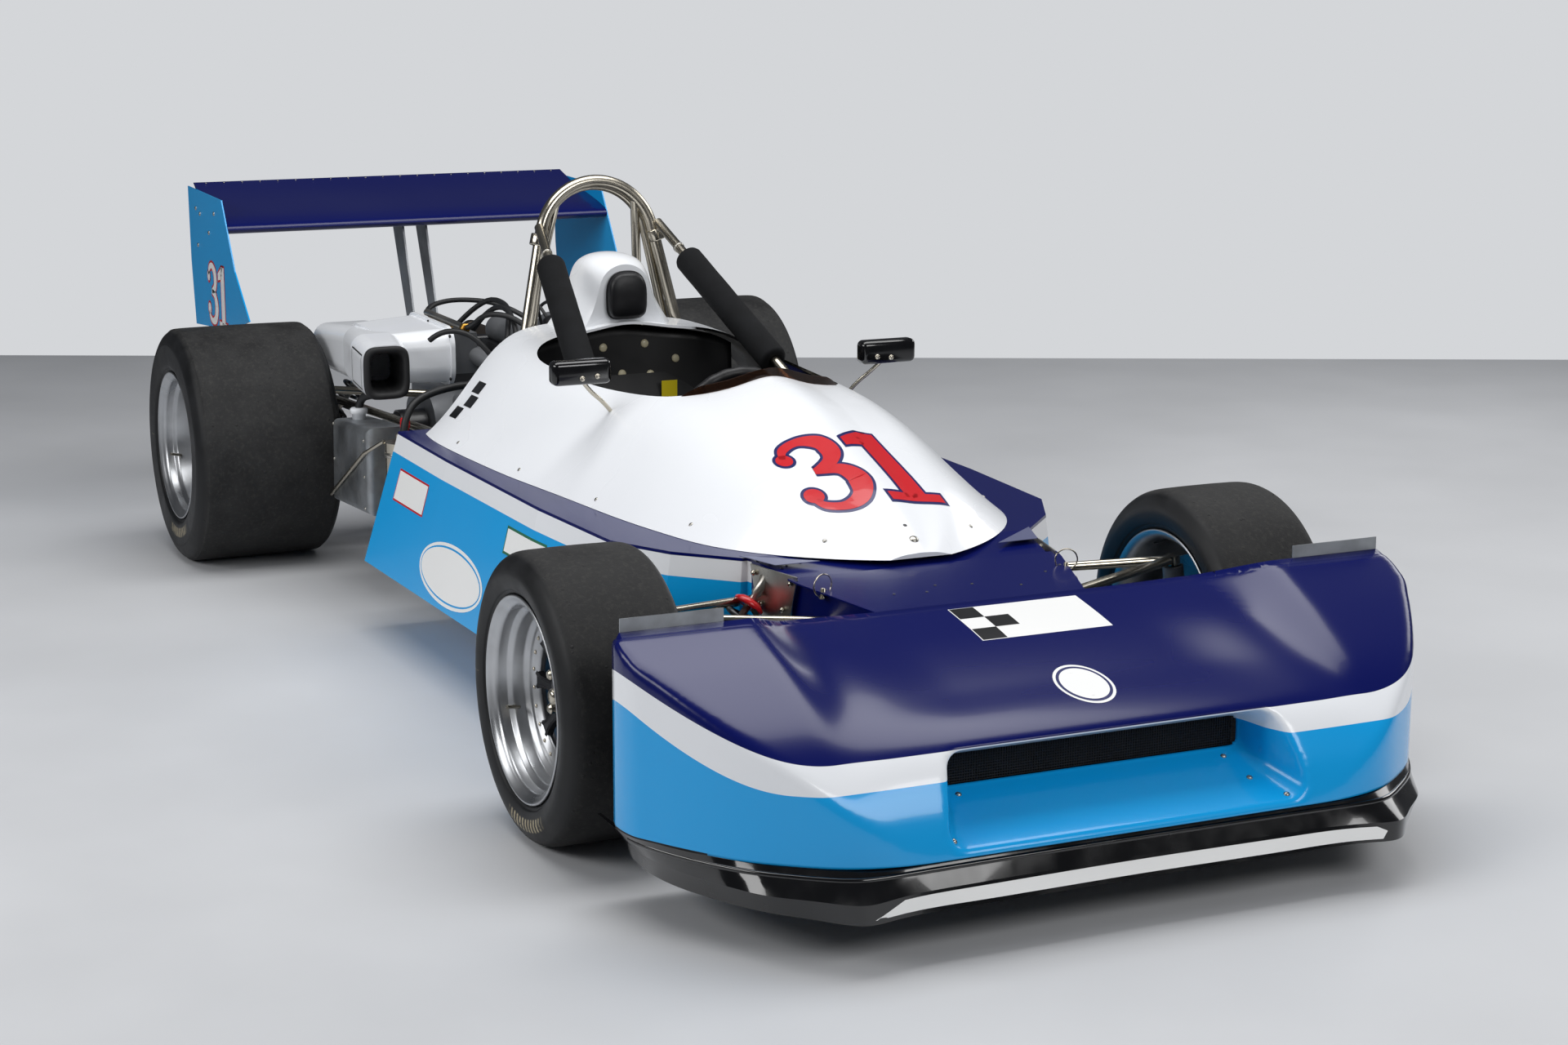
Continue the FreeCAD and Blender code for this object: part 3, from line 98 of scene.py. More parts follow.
class Finish:
    """A procedural material read in Object coordinates, in metres."""

    def __init__(self, name, colour, roughness, metallic=0.0, coat=0.0, specular=0.5):
        self.material = bpy.data.materials.new(name)
        self.material.use_nodes = True
        self.tree = self.material.node_tree
        self.surface = self.tree.nodes["Principled BSDF"]
        self.colour = linear(colour)
        self.surface.inputs["Base Color"].default_value = self.colour
        self.surface.inputs["Roughness"].default_value = roughness
        self.surface.inputs["Metallic"].default_value = metallic
        self.surface.inputs["Coat Weight"].default_value = coat
        self.surface.inputs["Coat Roughness"].default_value = 0.05
        if not metallic:
            self.surface.inputs["Specular IOR Level"].default_value = specular
        self.place = add(self.tree, "ShaderNodeTexCoord").outputs["Object"]

    def set(self, socket, source):
        """Links one input of the surface."""
        if isinstance(source, bpy.types.Node):
            source = source.outputs[0]
        self.tree.links.new(source, self.surface.inputs[socket])

    def patches(self, size_mm, edges, ends, detail=2.0):
        """A value that goes softly from one end to the other, in patches of a size."""
        cloud = {"Vector": self.place, "Scale": 1000.0 / size_mm, "Detail": detail}
        cloud = add(self.tree, "ShaderNodeTexNoise", cloud)
        return add(
            self.tree, "ShaderNodeMapRange", {0: cloud, 1: edges[0], 2: edges[1], 3: ends[0], 4: ends[1]}
        )

    def worn(self, low, high, size_mm=60.0):
        """Handled gloss: roughness wanders between two values over hand-sized patches."""
        self.set("Roughness", self.patches(size_mm, (0.3, 0.7), (low, high)))

    def grain(self, size_mm, depth_mm, detail=2.0, strength=1.0, stretch=None):
        """Fine relief of a size and depth, drawn out along an axis where it was brushed."""
        place = self.place
        if stretch:
            place = add(self.tree, "ShaderNodeMapping", {"Vector": place, "Scale": stretch})
        cloud = add(
            self.tree, "ShaderNodeTexNoise", {"Vector": place, "Scale": 1000.0 / size_mm, "Detail": detail}
        )
        self.raised(cloud, depth_mm, strength)

    def pebbled(self, scale, depth_mm, strength):
        """Small closed cells, as on foam and leathercloth."""
        self.raised(
            add(self.tree, "ShaderNodeTexVoronoi", {"Vector": self.place, "Scale": scale}), depth_mm,
            strength,
        )

    def raised(self, height, depth_mm, strength=1.0):
        """Relief over what is already there."""
        shape = {"Height": height, "Distance": depth_mm / 1000, "Strength": strength}
        before = self.surface.inputs["Normal"].links
        if before:
            shape["Normal"] = before[0].from_socket
        self.set("Normal", add(self.tree, "ShaderNodeBump", shape))

    def stained(self, share, colour):
        """Lays a second colour over the first, by a share from 0 to 1."""
        before = self.surface.inputs["Base Color"].links
        below = before[0].from_socket if before else self.colour
        shade = add(self.tree, "ShaderNodeMix", {0: share, 6: below, 7: linear(colour)}, COLOURS)
        self.set("Base Color", shade.outputs[2])


def painted(name, colour, roughness=0.22, dusty=0.04, coat=0.3):
    """Two-pack paint over glass fibre: deep gloss under a clear coat, with slight orange peel and dust."""
    made = Finish(name, colour, roughness, coat=coat, specular=0.4)
    made.stained(made.patches(420.0, (0.45, 0.8), (0.0, dusty)), DUST)
    made.worn(roughness * 0.95, roughness * 1.12, 300.0)
    made.grain(30.0, 0.02, 1.0, 0.5)
    return made


def striped(name, top_rule, lining_and_shade_rule):
    """The same paint in three bands: navy over a white stripe over blue, with a rule for each edge."""
    made = Finish(name, BLUE, 0.2, coat=0.3, specular=0.4)
    tree = made.tree
    x, y, z = add(tree, "ShaderNodeSeparateXYZ", {0: made.place}).outputs
    above_white, above_navy = top_rule(tree, x, y, z)
    lining_and_shade = lining_and_shade_rule(tree, x, y, z)
    made.stained(above_white, WHITE)
    made.stained(made.patches(420.0, (0.45, 0.8), (0.0, 0.04)), DUST)
    made.stained(above_navy, NAVY)
    # Near black where the lining rule says: the real black lining inside, and on the tub also painted shade
    # on the deck under the cowl
    made.stained(lining_and_shade, "#121316")
    thin_coat = add(tree, "ShaderNodeMath", {0: above_navy, 1: 0.8}, TIMES)
    no_coat = add(tree, "ShaderNodeMath", {0: lining_and_shade, 1: thin_coat}, HIGHER)
    made.set("Coat Weight", add(tree, "ShaderNodeMapRange", {0: no_coat, 3: 0.3, 4: 0.0}))
    made.set("Roughness", add(tree, "ShaderNodeMapRange", {0: lining_and_shade, 3: 0.21, 4: 0.6}))
    made.grain(30.0, 0.02, 1.0, 0.5)
    return made


def nose_rule(tree, x, y, z):
    """Both edges of the stripe are level across the front and climb along the flanks."""
    away = add(tree, "ShaderNodeMath", {0: y}, UNSIGNED)
    edges = []
    for level, start, climb in ((0.265, 0.566, 3.1), (0.303, 0.490, 1.69)):
        past = add(tree, "ShaderNodeMath", {0: away, 1: start}, MINUS)
        past = add(tree, "ShaderNodeMath", {0: past, 1: 0.0}, HIGHER)
        square = add(tree, "ShaderNodeMath", {0: past, 1: past}, TIMES)
        height = add(tree, "ShaderNodeMath", {0: square, 1: -climb, 2: z}, {"operation": "MULTIPLY_ADD"})
        edges.append(
            add(tree, "ShaderNodeMapRange", {0: height, 1: level - PAINT_EDGE, 2: level + PAINT_EDGE})
        )
    return edges


def tub_rule(tree, x, y, z):
    """Level bands on the flank; the deck, where the panel faces up, is all navy."""
    levels = (0.399, 0.33, 0.36, 0.4372)
    above_white, above_floor, above_foot_box, above_navy = [
        add(
            tree, "ShaderNodeMapRange", {0: z, 1: level - PAINT_EDGE, 2: level + PAINT_EDGE}
        ) for level in levels
    ]
    facing = add(tree, "ShaderNodeNewGeometry").outputs["Normal"]
    rise = add(tree, "ShaderNodeSeparateXYZ", {0: facing}).outputs[2]
    flat = add(tree, "ShaderNodeMapRange", {0: rise, 1: 0.5, 2: 0.55})
    deck = add(tree, "ShaderNodeMath", {0: flat, 1: above_floor}, TIMES)
    ahead = add(tree, "ShaderNodeMapRange", {0: x, 1: 1.16, 2: 1.161})
    front = add(tree, "ShaderNodeMath", {0: ahead, 1: above_foot_box}, TIMES)
    navy = add(tree, "ShaderNodeMath", {0: deck, 1: front}, HIGHER)
    return above_white, add(tree, "ShaderNodeMath", {0: navy, 1: above_navy}, HIGHER)


def turned_to_middle(tree, y):
    """Where a wall faces the car's centre line, and how far a face looks up."""
    facing = add(tree, "ShaderNodeNewGeometry").outputs["Normal"]
    ahead, aside, rise = add(tree, "ShaderNodeSeparateXYZ", {0: facing}).outputs
    toward = add(tree, "ShaderNodeMath", {0: aside, 1: y}, TIMES)
    return add(tree, "ShaderNodeMapRange", {0: toward, 1: -0.06, 2: -0.05, 3: 1.0, 4: 0.0}), rise


def tub_lining_and_shade(tree, x, y, z):
    """The tub is black inside: its walls' inner faces and its floor; the deck under the cowl is painted
    black as well, as painted shade under the cowl.
    """
    inward, rise = turned_to_middle(tree, y)
    upright = add(tree, "ShaderNodeMapRange", {0: rise, 1: 0.5, 2: 0.6, 3: 1.0, 4: 0.0})
    wall = add(tree, "ShaderNodeMath", {0: inward, 1: upright}, TIMES)
    flat = add(tree, "ShaderNodeMapRange", {0: rise, 1: 0.5, 2: 0.55})
    low = add(tree, "ShaderNodeMapRange", {0: z, 1: 0.30, 2: 0.301, 3: 1.0, 4: 0.0})
    floor = add(tree, "ShaderNodeMath", {0: flat, 1: low}, TIMES)
    # Painted shade: the deck under the cowl, in the cockpit's width and behind its front, is painted black
    # where the cowl overhangs it
    away = add(tree, "ShaderNodeMath", {0: y}, UNSIGNED)
    between = add(tree, "ShaderNodeMapRange", {0: away, 1: 0.335, 2: 0.336, 3: 1.0, 4: 0.0})
    behind = add(tree, "ShaderNodeMapRange", {0: x, 1: 0.72, 2: 0.721, 3: 1.0, 4: 0.0})
    cockpit = add(tree, "ShaderNodeMath", {0: between, 1: behind}, TIMES)
    deck = add(tree, "ShaderNodeMath", {0: cockpit, 1: flat}, TIMES)
    sides = add(tree, "ShaderNodeMath", {0: wall, 1: deck}, HIGHER)
    return add(tree, "ShaderNodeMath", {0: sides, 1: floor}, HIGHER)


def nose_lining(tree, x, y, z):
    """The nose is black inside: its side walls and the underside behind the duct."""
    inward, rise = turned_to_middle(tree, y)
    upright = add(tree, "ShaderNodeMapRange", {0: rise, 1: 0.3, 2: 0.4, 3: 1.0, 4: 0.0})
    standing = add(tree, "ShaderNodeMath", {0: inward, 1: upright}, TIMES)
    away = add(tree, "ShaderNodeMath", {0: y}, UNSIGNED)
    outboard = add(tree, "ShaderNodeMapRange", {0: away, 1: 0.40, 2: 0.401})
    wall = add(tree, "ShaderNodeMath", {0: standing, 1: outboard}, TIMES)
    down = add(tree, "ShaderNodeMapRange", {0: rise, 1: -0.3, 2: -0.25, 3: 1.0, 4: 0.0})
    behind = add(tree, "ShaderNodeMapRange", {0: x, 1: 1.84, 2: 1.841, 3: 1.0, 4: 0.0})
    under = add(tree, "ShaderNodeMath", {0: down, 1: behind}, TIMES)
    return add(tree, "ShaderNodeMath", {0: wall, 1: under}, HIGHER)


def lined_gelcoat():
    """The cowl's white gelcoat, black on the faces that look towards its middle."""
    made = painted("white_gelcoat_with_black_lining", WHITE, 0.26)
    tree = made.tree
    x, y, z = add(tree, "ShaderNodeSeparateXYZ", {0: made.place}).outputs
    height = add(tree, "ShaderNodeMath", {0: z, 1: 0.45}, MINUS)
    radial = add(tree, "ShaderNodeCombineXYZ", {1: y, 2: height})
    facing = add(tree, "ShaderNodeNewGeometry").outputs["Normal"]
    turned_in = add(tree, "ShaderNodeVectorMath", {0: facing, 1: radial}, {"operation": "DOT_PRODUCT"})
    toward = {0: turned_in.outputs["Value"], 1: -0.03, 2: -0.02, 3: 1.0, 4: 0.0}
    made.stained(add(tree, "ShaderNodeMapRange", toward), "#0b0b0c")
    return made


# Two-pack paint sprayed on sheet and on glass fibre: deep, even gloss with soft, long reflections
tub_paint = striped("gloss_striped_tub_paint", tub_rule, tub_lining_and_shade)
nose_paint = striped("gloss_striped_nose_paint", nose_rule, nose_lining)
navy_paint = painted("gloss_navy_paint", NAVY, dusty=0.012, coat=0.1)
blue_paint = painted("gloss_sky_blue_paint", BLUE)
# White gelcoat from a polished mould: a milky gloss, a little softer than paint
white_paint = painted("gloss_white_gelcoat", WHITE, 0.26)
cowl_paint = lined_gelcoat()
# Cut vinyl film: flat, even colour, with less gloss than the paint under it
red_film = painted("red_number_film", "#c8101c", 0.3)
navy_film = painted("navy_number_film", "#131b5c", 0.3)
white_film = painted("white_sticker_film", "#f2f2f0", 0.35)
black_film = painted("black_sticker_film", "#101114", 0.35)
green_film = painted("green_sticker_film", "#1f6b4a", 0.35)
# Anodised aluminium: a clear red with a narrow shine
red_paint = painted("red_anodised_platform", "#c0131a", 0.25)
# Enamel laid on by brush: grey, half dull
grey_paint = painted("grey_painted_gusset", "#5d6180", 0.4)
# Thin lacquered plate, bare of words: a dull yellow
yellow_film = painted("yellow_bare_plate", "#d8c31c", 0.4)
# Turned nylon: creamy, slightly waxy
cream_plastic = painted("cream_nylon_button", "#d9cfae", 0.4)


def polished(name, colour, roughness, tarnish, brushed=None):
    """Bare metal: a bright base with soft tarnish in patches, and fine lines where it was brushed."""
    made = Finish(name, colour, roughness, metallic=1.0)
    made.stained(made.patches(45.0, (0.45, 0.75), (0.0, tarnish), 6.0), "#5e5a54")
    made.worn(roughness * 0.8, min(1.0, roughness * 1.5), 90.0)
    if brushed:
        made.grain(1.2, 0.01, 2.0, 0.3, brushed)
    return made


# Spun and polished aluminium: bright, with broad soft reflections and a little tarnish
rim_metal = polished("machined_aluminium_rim", "#b9bbbe", 0.3, 0.15)
# Cast magnesium with a grey wash: dark, nearly dull metal
spider_metal = Finish("cast_magnesium_spider", "#2a2b2e", 0.55, metallic=0.6)
# Rolled aluminium sheet left bare: fine lines along the roll, and hazy patches
plate_metal = polished("rolled_aluminium_sheet", "#b4b8bc", 0.34, 0.35, (0.03, 1.0, 1.0))
# Hand-welded aluminium sheet: greyer and duller, with upright lines
tank_metal = polished("welded_aluminium_tank", "#a3a7ab", 0.45, 0.5, (1.0, 1.0, 0.04))
# Nickel plate on bent tube: warm, near a mirror, from bright to hazy
nickel = Finish("nickel_plated_tube", "#c4bdae", 0.2, metallic=1.0)
nickel.worn(0.15, 0.3, 120.0)
# Zinc plate on steel: pale and satin
steel = polished("zinc_plated_steel", "#b9b6ae", 0.3, 0.3)
# Turned brass: yellow, with brown tarnish
brass = polished("brass_fitting", "#b58a3c", 0.28, 0.4)
# Sand-cast aluminium: dull grey; its skin is drawn coarser than the real half millimetre, so that it shows
cast_metal = Finish("cast_aluminium", "#77797c", 0.6, metallic=0.7)
cast_metal.grain(2.2, 0.25, 3.0)
cast_metal.worn(0.5, 0.75)
# Black paint over cast iron: satin, on the casting's rough skin
iron = Finish("black_painted_cast_iron", "#1c1d20", 0.5, specular=0.4)
iron.grain(2.5, 0.3, 3.0)
iron.worn(0.38, 0.62)
# Ground iron: grey and bright, with brown-grey patches where it has stood
disc_metal = polished("ground_iron_disc", "#75767a", 0.3, 0.5)
# Stove enamel on steel: smooth black, half gloss
black_steel = Finish("black_stove_enamel", "#131417", 0.32, coat=0.2)
black_steel.worn(0.25, 0.45)
# Steel that has been hot: brown-grey, dull in patches
exhaust_metal = polished("heat_stained_steel", "#6d6259", 0.42, 0.7)
# Black gelcoat from a polished mould: mirror black, with slow waves
black_gelcoat = Finish("black_gloss_gelcoat", "#08080a", 0.12, coat=0.7)
black_gelcoat.worn(0.08, 0.28)
black_gelcoat.grain(18.0, 0.08, 2.0, 0.5)
# Moulded plastic: satin black; its grain is drawn coarser than real, so that it shows
black_plastic = Finish("black_moulded_plastic", "#141416", 0.45)
black_plastic.grain(1.5, 0.06)
black_plastic.worn(0.38, 0.55)
# Plastic from a polished mould: a wet-looking black
gloss_plastic = Finish("black_gloss_mirror_shell", "#0b0b0d", 0.1, coat=0.5)
gloss_plastic.worn(0.06, 0.2)
# Silvered glass: a clear mirror
mirror_glass = Finish("silvered_mirror_glass", "#d8dcdf", 0.03, metallic=1.0)
# Moulded rubber: matt black, slightly rough
soft_rubber = Finish("black_ribbed_rubber", "#121214", 0.6)
soft_rubber.grain(1.0, 0.08)
# Rubber hose under a braid: dark, half dull; the braid is only a fine relief here
hose_rubber = Finish("braided_hose_rubber", "#1a1b1d", 0.5)
hose_rubber.grain(1.5, 0.1)
# Closed-cell foam: deep matt black with small cells, faded in patches
foam = Finish("closed_cell_foam", "#0c0d0f", 0.85, specular=0.25)
foam.stained(foam.patches(60.0, (0.4, 0.75), (0.0, 1.0), 3.0), "#131417")
foam.pebbled(700.0, 0.3, 0.7)
# Leathercloth: black with a soft shine, over a fine pebbled grain
leather = Finish("black_leathercloth", "#131316", 0.42)
leather.pebbled(900.0, 0.15, 0.6)
leather.worn(0.34, 0.5)
# Smoked acrylic sheet: brown and clear, with a hard, thin shine
tinted = Finish("smoked_acrylic_screen", "#4a2c18", 0.05)
tinted.surface.inputs["Transmission Weight"].default_value = 0.85
tinted.surface.inputs["IOR"].default_value = 1.49


def finned_core():
    """The radiator's black core, with fins 2.4 mm apart."""
    made = Finish("black_radiator_core", "#060708", 0.5, metallic=0.3)
    y = add(made.tree, "ShaderNodeSeparateXYZ", {0: made.place}).outputs[1]
    turns = add(made.tree, "ShaderNodeMath", {0: y, 1: 2 * math.pi / 0.0024}, TIMES)
    fins = add(made.tree, "ShaderNodeMath", {0: turns}, {"operation": "SINE"})
    made.stained(add(made.tree, "ShaderNodeMapRange", {0: fins, 1: -1.0}), "#1e2226")
    made.raised(fins, 0.6)
    return made


def slick_rubber():
    """Worn slick: chalky scrubbed tread with picked-up crumbs, and a darker, smoother moulded sidewall."""
    made = Finish("worn_slick_rubber", "#17181a", 0.6, specular=0.35)
    tree = made.tree
    worn, reach, turn = [
        add(tree, "ShaderNodeAttribute", None, {"attribute_name": word}).outputs["Fac"]
        for word in ("worn", "reach", "turn")
    ]
    patch = {"Vector": made.place, "Scale": 1000.0 / 70.0, "Detail": 8.0, "Roughness": 0.6}
    patch = add(tree, "ShaderNodeTexNoise", patch)
    scrub = {"Vector": made.place, "Scale": 1000.0 / 9.0, "Detail": 4.0, "Roughness": 0.7}
    scrub = add(tree, "ShaderNodeTexNoise", scrub)

    # Tread: grey patches under lighter scrubbing
    patches = add(tree, "ShaderNodeMapRange", {0: patch, 1: 0.35, 2: 0.7})
    tread = add(tree, "ShaderNodeMix", {0: patches, 6: linear("#1b1b1c"), 7: linear("#2e2e2e")}, COLOURS)
    scrubbed = add(tree, "ShaderNodeMapRange", {0: scrub, 1: 0.5, 2: 0.75, 4: 0.4})
    tread = add(tree, "ShaderNodeMix", {0: scrubbed, 6: tread.outputs[2], 7: linear("#454440")}, COLOURS)

    # Sidewall: short chalk strokes in a band at the bottom
    patches = add(tree, "ShaderNodeMapRange", {0: patch, 1: 0.4, 2: 0.8})
    side = add(tree, "ShaderNodeMix", {0: patches, 6: linear("#0d0e10"), 7: linear("#1a1b1e")}, COLOURS)
    waves = add(tree, "ShaderNodeMath", {0: turn, 1: 96.0}, TIMES)
    waves = add(tree, "ShaderNodeMath", {0: waves}, {"operation": "SINE"})
    dashes = add(tree, "ShaderNodeMapRange", {0: waves, 1: -0.1, 2: 0.1})
    lowest = add(tree, "ShaderNodeMath", {0: turn, 1: math.pi / 2 - 0.15}, {"operation": "ADD"})
    lowest = add(tree, "ShaderNodeMath", {0: lowest}, UNSIGNED)
    lowest = add(tree, "ShaderNodeMapRange", {0: lowest, 1: 0.30, 2: 0.42, 3: 1.0, 4: 0.0})
    past_inner = add(tree, "ShaderNodeMapRange", {0: reach, 1: 0.204, 2: 0.207})
    past_outer = add(tree, "ShaderNodeMapRange", {0: reach, 1: 0.226, 2: 0.229, 3: 1.0, 4: 0.0})
    chalk = add(tree, "ShaderNodeMapRange", {0: scrub, 1: 0.35, 2: 0.5, 4: 0.8})
    for share in (dashes, lowest, past_inner, past_outer):
        chalk = add(tree, "ShaderNodeMath", {0: chalk, 1: share}, TIMES)
    side = add(tree, "ShaderNodeMix", {0: chalk, 6: side.outputs[2], 7: linear("#b3a78a")}, COLOURS)
    whole = add(tree, "ShaderNodeMix", {0: worn, 6: side.outputs[2], 7: tread.outputs[2]}, COLOURS)
    made.set("Base Color", whole.outputs[2])
    gloss = add(tree, "ShaderNodeMapRange", {0: patch, 1: 0.3, 2: 0.7, 3: 0.42, 4: 0.58})
    made.set(
        "Roughness",
        add(tree, "ShaderNodeMath", {0: worn, 1: 0.28, 2: gloss}, {"operation": "MULTIPLY_ADD"}),
    )

    # Crumbs of rubber stuck to the tread, over a fine scuff
    cells = add(tree, "ShaderNodeTexVoronoi", {"Vector": made.place, "Scale": 55.0})
    smooth = {"interpolation_type": "SMOOTHSTEP"}
    crumbs = add(tree, "ShaderNodeMapRange", {0: cells, 1: 0.10, 2: 0.22, 3: 1.0, 4: 0.0}, smooth)
    crumbs = add(tree, "ShaderNodeMath", {0: crumbs, 1: worn}, TIMES)
    scattered = add(tree, "ShaderNodeMapRange", {0: patch, 1: 0.5, 2: 0.6})
    made.raised(add(tree, "ShaderNodeMath", {0: crumbs, 1: scattered}, TIMES), 1.6)
    scuff = add(tree, "ShaderNodeTexNoise", {"Vector": made.place, "Scale": 1000.0 / 3.0, "Detail": 4.0})
    made.raised(add(tree, "ShaderNodeMath", {0: scuff, 1: worn}, TIMES), 0.5)
    return made


core_metal = finned_core()
rubber = slick_rubber()


# Meshes
def new_mesh(name, verts, faces):
    """A mesh from points and faces."""
    mesh = bpy.data.meshes.new(name)
    mesh.from_pydata([tuple(v) for v in verts], [], faces)
    return mesh


def in_scene(name, data):
    """A new object in the scene that holds a mesh, a curve, a lamp or a camera."""
    made = bpy.data.objects.new(name, data)
    bpy.context.scene.collection.objects.link(made)
    return made


def baked(made):
    """An object's shape as a plain mesh, with its modifiers or its bevel applied."""
    bpy.context.view_layer.update()
    return bpy.data.meshes.new_from_object(made.evaluated_get(bpy.context.evaluated_depsgraph_get()))


def from_work(name, work):
    """A plain object from finished work on a mesh."""
    mesh = bpy.data.meshes.new(name)
    work.to_mesh(mesh)
    work.free()
    return in_scene(name, mesh)


def ring_faces(rows, count, closed=False):
    """Quads between neighbouring rings of count points; closed joins the last ring to the first."""
    faces = []
    for i in range(rows if closed else rows - 1):
        first = i * count
        second = (i + 1) % rows * count
        for k in range(count):
            beside = (k + 1) % count
            faces.append((first + k, first + beside, second + beside, second + k))
    return faces


def sheet_faces(rows, count, closed=False):
    """Quads between neighbouring open rows of count points; closed joins the last row to the first."""
    faces = []
    for i in range(rows if closed else rows - 1):
        first = i * count
        second = (i + 1) % rows * count
        for k in range(count - 1):
            faces.append((first + k, second + k, second + k + 1, first + k + 1))
    return faces


def finish_piece(made, finish, body, replaces=(), smooth=True):
    """Gives a piece its finish, and says for the frame what it rides on and what it replaces."""
    if finish.material.name not in [m.name for m in made.data.materials if m]:
        made.data.materials.clear()
        made.data.materials.append(finish.material)
    if smooth:
        made.data.shade_smooth()
    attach(made, body)
    if replaces:
        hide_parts(*replaces)
    return made


def piece(name, verts, faces, finish, body, replaces=(), smooth=True):
    """A piece from points and faces."""
    mesh = new_mesh(name, verts, faces)
    mesh.validate()
    return finish_piece(in_scene(name, mesh), finish, body, replaces, smooth)


def round_axle(centre, radius, turn, along=0.0):
    """The place at a radius and a turn round the Y axis through centre, and so far along it."""
    return (centre[0] + radius * math.cos(turn), centre[1] + along, centre[2] + radius * math.sin(turn))


def turned(profile, centre, hand, steps):
    """Turns (radius, along) points round the Y axis through centre; hand -1 mirrors them to the right."""
    verts = []
    for i in range(steps):
        for radius, along in profile:
            verts.append(round_axle(centre, radius, 2 * math.pi * i / steps, hand * along))
    faces = ring_faces(steps, len(profile), closed=True)
    return verts, faces if hand > 0 else [face[::-1] for face in faces]


def outward(made):
    """Welds an object's doubled points and turns its faces outward."""
    work = bmesh.new()
    work.from_mesh(made.data)
    bmesh.ops.remove_doubles(work, verts=work.verts, dist=0.00001)
    bmesh.ops.recalc_face_normals(work, faces=work.faces)
    work.to_mesh(made.data)
    work.free()
    return made


def joined(name, parts):
    """Joins pieces of one body into one object, keeping their materials."""
    with bpy.context.temp_override(
        active_object=parts[0], selected_editable_objects=parts, selected_objects=parts
    ):
        bpy.ops.object.join()
    parts[0].name = name
    return parts[0]


def tube(name, points, radius, finish, body, smooth_line=True, sides=8, cyclic=False, replaces=()):
    """A round bar, hose or wire through points; its ends are closed."""
    curve = bpy.data.curves.new(name, "CURVE")
    curve.dimensions = "3D"
    curve.bevel_depth = radius
    curve.bevel_resolution = max(1, sides // 4)
    curve.use_fill_caps = True
    line = curve.splines.new("NURBS" if smooth_line else "POLY")
    line.points.add(len(points) - 1)
    for at, p in zip(line.points, points):
        at.co = (*p, 1.0)
    if smooth_line:
        line.order_u = 3
        line.use_endpoint_u = True
        line.resolution_u = 6
    line.use_cyclic_u = cyclic
    holder = in_scene(name + "_line", curve)
    mesh = baked(holder)
    bpy.data.objects.remove(holder)
    mesh.materials.clear()
    return finish_piece(in_scene(name, mesh), finish, body, replaces)


# Geometry Nodes trees for what repeats
def tree_with(name, inputs):
    """A new tree with its inputs: the tree, what comes in, and the node for what goes out."""
    tree = bpy.data.node_groups.new(name, "GeometryNodeTree")
    tree.interface.new_socket("Geometry", in_out="INPUT", socket_type="NodeSocketGeometry")
    tree.interface.new_socket("Geometry", in_out="OUTPUT", socket_type="NodeSocketGeometry")
    for word, kind, value in inputs:
        made = tree.interface.new_socket(word, in_out="INPUT", socket_type="NodeSocket" + kind)
        if value is not None:
            made.default_value = value
    return tree, tree.nodes.new("NodeGroupInput").outputs, tree.nodes.new("NodeGroupOutput")


def closing(tree, given, end, geometry):
    """Ends a tree: makes its copies real and gives them the material."""
    real = add(tree, "GeometryNodeRealizeInstances", {"Geometry": geometry})
    coloured = add(tree, "GeometryNodeSetMaterial", {"Geometry": real, "Material": given["Material"]})
    tree.links.new(coloured.outputs[0], end.inputs[0])


def fastener_tree():
    """Domed heads on every point of the mesh, each turned to the point's own 'aim'."""
    names = [("Radius", "Float", 0.004), ("Rise", "Float", 0.5), ("Material", "Material", None)]
    tree, given, end = tree_with("domed_heads", names)
    head = add(tree, "GeometryNodeMeshUVSphere", {"Segments": 12, "Rings": 6, "Radius": given["Radius"]})
    squash = add(tree, "ShaderNodeCombineXYZ", {0: 1.0, 1: 1.0, 2: given["Rise"]})
    flat = add(tree, "GeometryNodeTransform", {"Geometry": head, "Scale": squash})
    aim = add(tree, "GeometryNodeInputNamedAttribute", {"Name": "aim"}, {"data_type": "FLOAT_VECTOR"})
    turn = add(
        tree, "FunctionNodeAlignRotationToVector", {"Vector": aim.outputs["Attribute"]}, {"axis": "Z"}
    )
    dots = add(tree, "GeometryNodeMeshToPoints", {"Mesh": given["Geometry"]})
    placed = add(tree, "GeometryNodeInstanceOnPoints", {"Points": dots, "Instance": flat, "Rotation": turn})
    smooth = add(tree, "GeometryNodeSetShadeSmooth", {"Geometry": placed})
    closing(tree, given, end, smooth)
    return tree


def ring_tree():
    """Repeats the mesh round the Y axis through a centre."""
    names = [("Count", "Int", 8), ("Centre", "Vector", None), ("Material", "Material", None)]
    tree, given, end = tree_with("repeat_round_axle", names)
    away = add(tree, "ShaderNodeVectorMath", {0: given["Centre"], 1: (-1.0, -1.0, -1.0)}, TIMES)
    home = add(tree, "GeometryNodeTransform", {"Geometry": given["Geometry"], "Translation": away})
    dots = add(tree, "GeometryNodeMeshLine", {"Count": given["Count"], "Offset": (0.0, 0.0, 0.0)})
    index = add(tree, "GeometryNodeInputIndex")
    step = add(tree, "ShaderNodeMath", {0: 2 * math.pi, 1: given["Count"]}, {"operation": "DIVIDE"})
    angle = add(tree, "ShaderNodeMath", {0: index, 1: step}, TIMES)
    turn = add(tree, "ShaderNodeCombineXYZ", {1: angle})
    placed = add(tree, "GeometryNodeInstanceOnPoints", {"Points": dots, "Instance": home, "Rotation": turn})
    back = add(tree, "GeometryNodeTransform", {"Geometry": placed, "Translation": given["Centre"]})
    closing(tree, given, end, back)
    return tree


